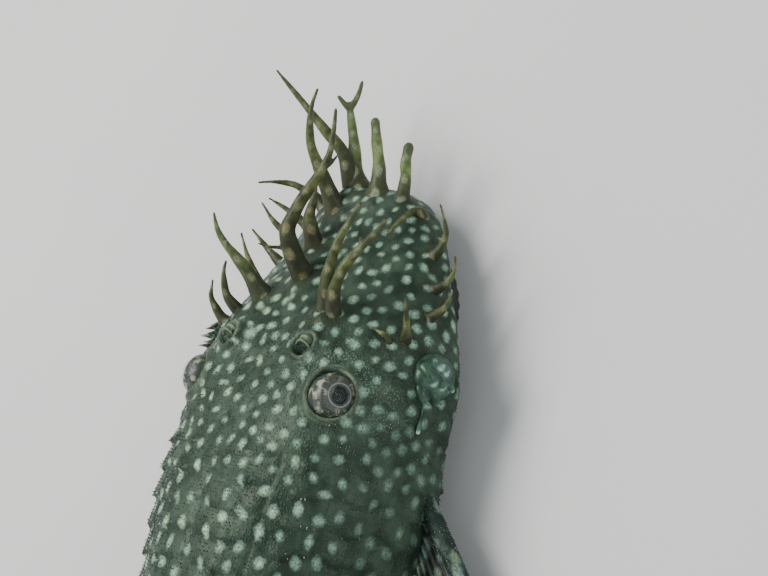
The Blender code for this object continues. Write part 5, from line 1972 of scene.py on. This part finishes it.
def make_fins(settings):
    """All fins with their spines."""
    fin_material(settings)
    spine_material(settings)
    odontode_material("spine_teeth", settings.spine_dark, settings.dash)
    seed = SEED_FINS
    for name, fin in FINS.items():
        hands = ((1, ""),) if fin.first[1][1] == 0.0 else ((1, "_left"), (-1, "_right"))
        for hand, word in hands:
            seed += 1
            node = name + word
            surface = partial(fan_surface, fin, hand)
            make_fin(node + "_web", node, surface, fin.rays, fin.web, seed)
            base, teeth_per_mm = SPINES[name]
            if name == "adipose_fin":
                line, radii = edge_spine(surface, 0.0, 0.3, 0.97, 40, base)
                lead = np.array((1.0, 0.0, 0.4)) / math.hypot(1.0, 0.4)
            else:
                line, radii = edge_spine(surface, 0.0, 0.55 * base, SPINE_REACH, SPINE_POINTS, base)
                lead = line[20] - place(*surface(np.array([0.3]), np.array([0.3]))[0])
                lead = lead / np.linalg.norm(lead)
            make_spine(node + "_spine", node, line, radii, lead, seed, teeth_per_mm)
    make_fin("caudal_fin_web", "caudal_fin", tail_surface, TAIL_RAYS, TAIL_WEB, SEED_TAIL)
    base, teeth_per_mm = SPINES["caudal_fin"]
    for edge, word, rise in ((0.0, "upper", 1.0), (1.0, "lower", -1.0)):
        line, radii = edge_spine(tail_surface, edge, 0.25, SPINE_REACH, SPINE_POINTS, base)
        lead = np.array((0.2, 0.0, rise))
        make_spine(
            "caudal_fin_spine_" + word, "caudal_fin", line, radii, lead, SEED_TAIL + 1, teeth_per_mm)


def area_light(name, spot, aim, size, power, tint):
    """Soft box at a spot, turned towards what it lights."""
    lamp = bpy.data.lights.new(name, "AREA")
    lamp.shape = "RECTANGLE"
    lamp.size = size[0]
    lamp.size_y = size[1]
    lamp.energy = power
    lamp.color = tint
    held = bpy.data.objects.new(name, lamp)
    bpy.context.scene.collection.objects.link(held)
    held.location = spot
    held.rotation_euler = (Vector(aim) - Vector(spot)).to_track_quat("-Z", "Y").to_euler()


def make_floor(settings):
    """Pale floor, a little brighter far from the fish."""
    select_only()
    bpy.ops.mesh.primitive_plane_add(size=12.0, location=(0.0, 0.0, 0.0))
    floor = bpy.context.object
    floor.name = "floor"
    made, wires, shader = start_material("floor_card", roughness=0.75, emission_strength=1.0)
    card = clouded(wires, settings.floor_shade, settings.floor, 14.0)
    wires.feed(shader.inputs["Base Color"], card)
    away = wires.node("ShaderNodeVectorMath", operation="LENGTH")
    wires.feed(away.inputs[0], wires.coords())
    far = wires.span(away.outputs["Value"], 0.16, 0.75)
    glow = wires.mix(far, BLACK, (0.27, 0.265, 0.25, 1.0))
    wires.feed(shader.inputs["Emission Color"], glow)
    floor.data.materials.append(made)


def make_lights(settings):
    """Three soft boxes and a plain sky."""
    for name, spot, size, power, tint in (
            ("key", (0.1, 0.17, 0.36), (0.26, 0.2), settings.key_power, (1.0, 0.985, 0.96)),
            ("side", (0.05, -0.42, 0.16), (0.3, 0.22), settings.side_power, (0.93, 0.97, 1.0)),
            ("back", (-0.3, 0.3, 0.28), (0.3, 0.3), settings.back_power, (1.0, 1.0, 1.0))):
        area_light(name, spot, LIGHTS_AIM, size, power, tint)
    world = bpy.data.worlds.new("studio")
    bpy.context.scene.world = world
    world.use_nodes = True
    sky = world.node_tree.nodes["Background"]
    sky.inputs["Color"].default_value = (0.86, 0.93, 1.0, 1.0)
    sky.inputs["Strength"].default_value = settings.sky_strength


def make_camera():
    """The camera, turned with the fish so that the photo's framing is kept."""
    view = bpy.data.cameras.new("view")
    view.sensor_width = 36.0
    view.lens = CAMERA_LENS
    view.clip_start = 0.01
    view.clip_end = 20.0
    held = bpy.data.objects.new("view", view)
    bpy.context.scene.collection.objects.link(held)
    forward = Vector(CAMERA_FORWARD).normalized()
    right = forward.cross(Vector(CAMERA_UP)).normalized()
    up = right.cross(forward)
    turn = Matrix((right, up, -forward)).transposed()
    held.matrix_world = Matrix.Translation(CAMERA_PLACE) @ turn.to_4x4()
    bpy.context.scene.camera = held


def make_stage(settings):
    """Pale floor, soft boxes, plain sky and the camera."""
    make_floor(settings)
    make_lights(settings)
    make_camera()


def paint(label, hint, default):
    """Property for a linear colour."""
    return bpy.props.FloatVectorProperty(
        name=label, description=hint, default=default, size=3, min=0.0, max=1.0, subtype="COLOR")


def metres(label, hint, default):
    """Property for a length in metres."""
    return bpy.props.FloatProperty(
        name=label, description=hint, default=default, unit="LENGTH", precision=5)


def fraction(label, hint, default):
    """Property for a number without a unit."""
    return bpy.props.FloatProperty(
        name=label, description=hint, default=default, subtype="FACTOR", min=0.0, soft_max=1.0)


def amount(label, hint, default):
    """Property for a whole number."""
    return bpy.props.IntProperty(name=label, description=hint, default=default, min=0)


def watts(label, hint, default):
    """Property for the power of a light."""
    return bpy.props.FloatProperty(name=label, description=hint, default=default, unit="POWER")


class PlecoSkinSettings(bpy.types.PropertyGroup):
    """Sizes and colours of the skin and its teeth"""
    plate_lift: metres("Plate lift", "Rise of each bony plate at its rear edge", 0.00042)
    spot_spacing: metres("Spot spacing", "Least distance between pale spots on the head", 0.00156)
    spot_size: metres("Spot size", "Usual width of a pale spot", 0.00094)
    spot_stretch: bpy.props.FloatProperty(
        name="Spot stretch", description="Usual length of a spot for its width", default=1.3)
    head_teeth: amount("Head teeth", "Skin teeth on the rear of the head", 4200)
    body_teeth: amount("Body teeth", "Skin teeth on the plates", 15000)
    dark: paint("Dark", "Skin colour in the darker clouds", (0.0152, 0.0272, 0.0175))
    light: paint("Light", "Skin colour in the lighter clouds", (0.041, 0.0645, 0.0435))
    root_brown: paint("Root brown", "Skin round the tentacle roots", (0.016, 0.018, 0.0075))
    belly: paint("Belly", "Naked skin of the belly", (0.2, 0.21, 0.16))
    speck: paint("Speck", "Fine pale grains of the skin", (0.17, 0.28, 0.2))
    # Painted light and shade: the lighter green spots mark the lit left side, the darker blue ones
    # the shaded right
    spot_green: paint("Green spot", "Spots on the fish's left", (0.51, 0.7, 0.42))
    spot_blue: paint("Blue spot", "Spots on the fish's right", (0.285, 0.46, 0.345))
    # Rim also paints the wet highlights on the orbit and nostril rims
    rim: paint("Rim", "Edges of the orbits and nostrils", (0.3, 0.37, 0.24))
    tooth_root: paint("Tooth root", "Foot of a skin tooth", (0.02, 0.03, 0.026))
    tooth_tip: paint("Tooth tip", "Tip of a skin tooth", (0.13, 0.17, 0.15))


class PlecoTentacleSettings(bpy.types.PropertyGroup):
    """Colours of the snout tentacles"""
    brown_dark: paint("Dark brown", "Flesh in the darker clouds", (0.029, 0.034, 0.0115))
    brown_light: paint("Light brown", "Flesh in the lighter clouds", (0.1, 0.116, 0.034))
    olive: paint("Olive", "Flesh of the lip's tentacles", (0.145, 0.2, 0.064))
    grey: paint("Blue grey", "Flesh of the greyest tentacles", (0.05, 0.08, 0.058))
    root: paint("Root", "Flesh next to the head", (0.027, 0.03, 0.015))
    tip: paint("Tip", "Flesh at the tips", (0.045, 0.055, 0.028))
    ochre: paint("Ochre spot", "Spots of the brown tentacles", (0.25, 0.225, 0.1))
    cream: paint("Cream spot", "Spots of the grey tentacles", (0.4, 0.46, 0.3))


class PlecoEyeSettings(bpy.types.PropertyGroup):
    """Colours of the eyes"""
    pupil: fraction("Pupil", "Radius of the pupil for that of the eye", 0.34)
    iris_dark: paint("Dark iris", "Ground of the iris", (0.013, 0.022, 0.019))
    iris_light: paint("Light iris", "Streaks of the iris", (0.1, 0.1, 0.062))
    fleck: paint("Fleck", "Pale flecks of the iris", (0.42, 0.4, 0.27))
    ring: paint("Ring", "Thin ring round the pupil", (0.3, 0.36, 0.4))
    globe: paint("Globe", "Sides of the eyeball", (0.03, 0.04, 0.035))
    haze: paint("Haze", "Sheen of the clear dome", (0.05, 0.09, 0.075))


class PlecoCheekSettings(bpy.types.PropertyGroup):
    """Colours of the cheek patches"""
    cheek_dark: paint("Dark flesh", "Darker clouds of the patch", (0.011, 0.025, 0.015))
    cheek_light: paint("Light flesh", "Lighter clouds of the patch", (0.038, 0.078, 0.048))
    # Painted highlight: pale colour of the fingers' tips
    cheek_tip: paint("Lobe tip", "Tips of the fleshy fingers", (0.34, 0.56, 0.46))
    spine_root: paint("Spine root", "Foot of a hooked spine", (0.06, 0.045, 0.025))
    spine_tip: paint("Spine tip", "Tip of a hooked spine", (0.42, 0.42, 0.34))


class PlecoMouthSettings(bpy.types.PropertyGroup):
    """Colours of the sucker mouth"""
    lip_dark: paint("Dark lip", "Darker clouds of the lips", (0.2, 0.15, 0.11))
    lip_light: paint("Light lip", "Lighter clouds of the lips", (0.34, 0.27, 0.2))
    papilla: paint("Papilla", "Tops of the small warts", (0.5, 0.42, 0.33))
    upper_side: paint("Upper side", "Rim and upper side of the lips", (0.02, 0.027, 0.022))
    tooth_root: paint("Tooth root", "Foot of a comb tooth", (0.45, 0.3, 0.12))
    tooth_tip: paint("Tooth tip", "Tip of a comb tooth", (0.75, 0.5, 0.18))


class PlecoFinSettings(bpy.types.PropertyGroup):
    """Colours of the fins"""
    web_dark: paint("Dark web", "Darker clouds of the webs", (0.012, 0.018, 0.012))
    web_light: paint("Light web", "Lighter clouds of the webs", (0.03, 0.04, 0.026))
    web_cover: fraction("Web cover", "How solid the webs look", 0.86)
    ray: paint("Ray", "Fin rays", (0.045, 0.05, 0.03))
    spot_green: paint("Green spot", "Greener spots", (0.33, 0.42, 0.25))
    spot_blue: paint("Blue spot", "Bluer spots", (0.27, 0.4, 0.36))
    spine_dark: paint("Dark spine", "Darker clouds of the spines", (0.012, 0.022, 0.017))
    spine_light: paint("Light spine", "Lighter clouds of the spines", (0.031, 0.05, 0.038))
    dash: paint("Dash", "Pale teeth of the spines", (0.5, 0.56, 0.52))


class PlecoStageSettings(bpy.types.PropertyGroup):
    """Floor and lights"""
    floor: paint("Floor", "Colour of the floor", (0.62, 0.62, 0.6))
    floor_shade: paint("Floor shade", "Faint clouds of the floor", (0.59, 0.59, 0.575))
    key_power: watts("Key power", "Light from above the head", 2.3)
    side_power: watts("Side power", "Light from the fish's right", 0.9)
    back_power: watts("Back power", "Light from behind the tail", 0.7)
    sky_strength: fraction("Sky strength", "Light from all round", 0.5)


class PLECO_OT_skin(bpy.types.Operator):
    """Make the skin of head and body with its plates, spots and skin teeth"""
    bl_idname = "pleco.skin"
    bl_label = "Skin"

    def execute(self, context):
        settings = context.scene.pleco_skin
        skin_teeth(make_skin(settings), settings)
        return {"FINISHED"}


class PLECO_OT_nostrils(bpy.types.Operator):
    """Make the flaps of both nostrils"""
    bl_idname = "pleco.nostrils"
    bl_label = "Nostrils"

    def execute(self, context):
        make_nostrils()
        return {"FINISHED"}


class PLECO_OT_tentacles(bpy.types.Operator):
    """Make the tentacles of the snout"""
    bl_idname = "pleco.tentacles"
    bl_label = "Tentacles"

    def execute(self, context):
        make_tentacles(context.scene.pleco_tentacles)
        return {"FINISHED"}


class PLECO_OT_eyes(bpy.types.Operator):
    """Make both eyes"""
    bl_idname = "pleco.eyes"
    bl_label = "Eyes"

    def execute(self, context):
        make_eyes(context.scene.pleco_eyes)
        return {"FINISHED"}


class PLECO_OT_cheeks(bpy.types.Operator):
    """Make both cheek patches with their hooked spines"""
    bl_idname = "pleco.cheeks"
    bl_label = "Cheeks"

    def execute(self, context):
        make_cheeks(context.scene.pleco_cheeks)
        return {"FINISHED"}


class PLECO_OT_mouth(bpy.types.Operator):
    """Make the sucker mouth, its teeth and barbels"""
    bl_idname = "pleco.mouth"
    bl_label = "Mouth"

    def execute(self, context):
        make_mouth(context.scene.pleco_mouth)
        return {"FINISHED"}


class PLECO_OT_fins(bpy.types.Operator):
    """Make all fins and their spines"""
    bl_idname = "pleco.fins"
    bl_label = "Fins"

    def execute(self, context):
        make_fins(context.scene.pleco_fins)
        return {"FINISHED"}


class PLECO_OT_stage(bpy.types.Operator):
    """Set the floor, the lights and the camera"""
    bl_idname = "pleco.stage"
    bl_label = "Stage"

    def execute(self, context):
        make_stage(context.scene.pleco_stage)
        return {"FINISHED"}


class PLECO_PT_pieces(bpy.types.Panel):
    """Buttons for every piece of the fish"""
    bl_label = "Pleco"
    bl_idname = "PLECO_PT_pieces"
    bl_space_type = "VIEW_3D"
    bl_region_type = "UI"
    bl_category = "Pleco"

    def draw(self, context):
        for operator, group in PIECES:
            self.layout.operator(operator.bl_idname)
            for name in getattr(group, "__annotations__", ()):
                self.layout.prop(getattr(context.scene, SETTINGS[group]), name)


PIECES = (
    (PLECO_OT_skin, PlecoSkinSettings),
    (PLECO_OT_nostrils, None),
    (PLECO_OT_tentacles, PlecoTentacleSettings),
    (PLECO_OT_eyes, PlecoEyeSettings),
    (PLECO_OT_cheeks, PlecoCheekSettings),
    (PLECO_OT_mouth, PlecoMouthSettings),
    (PLECO_OT_fins, PlecoFinSettings),
    (PLECO_OT_stage, PlecoStageSettings),
)
SETTINGS = {
    PlecoSkinSettings: "pleco_skin",
    PlecoTentacleSettings: "pleco_tentacles",
    PlecoEyeSettings: "pleco_eyes",
    PlecoCheekSettings: "pleco_cheeks",
    PlecoMouthSettings: "pleco_mouth",
    PlecoFinSettings: "pleco_fins",
    PlecoStageSettings: "pleco_stage",
}


def register():
    """Add the settings, the operators and the panel."""
    for group, name in SETTINGS.items():
        bpy.utils.register_class(group)
        setattr(bpy.types.Scene, name, bpy.props.PointerProperty(type=group))
    for operator, _ in PIECES:
        bpy.utils.register_class(operator)
    bpy.utils.register_class(PLECO_PT_pieces)


def unregister():
    """Take away what register() added."""
    bpy.utils.unregister_class(PLECO_PT_pieces)
    for operator, _ in reversed(PIECES):
        bpy.utils.unregister_class(operator)
    for group, name in SETTINGS.items():
        delattr(bpy.types.Scene, name)
        bpy.utils.unregister_class(group)


def main():
    """Make every piece in turn."""
    register()
    bpy.ops.pleco.skin()
    bpy.ops.pleco.nostrils()
    bpy.ops.pleco.tentacles()
    bpy.ops.pleco.eyes()
    bpy.ops.pleco.cheeks()
    bpy.ops.pleco.mouth()
    bpy.ops.pleco.fins()
    bpy.ops.pleco.stage()


if __name__ == "__main__":
    main()
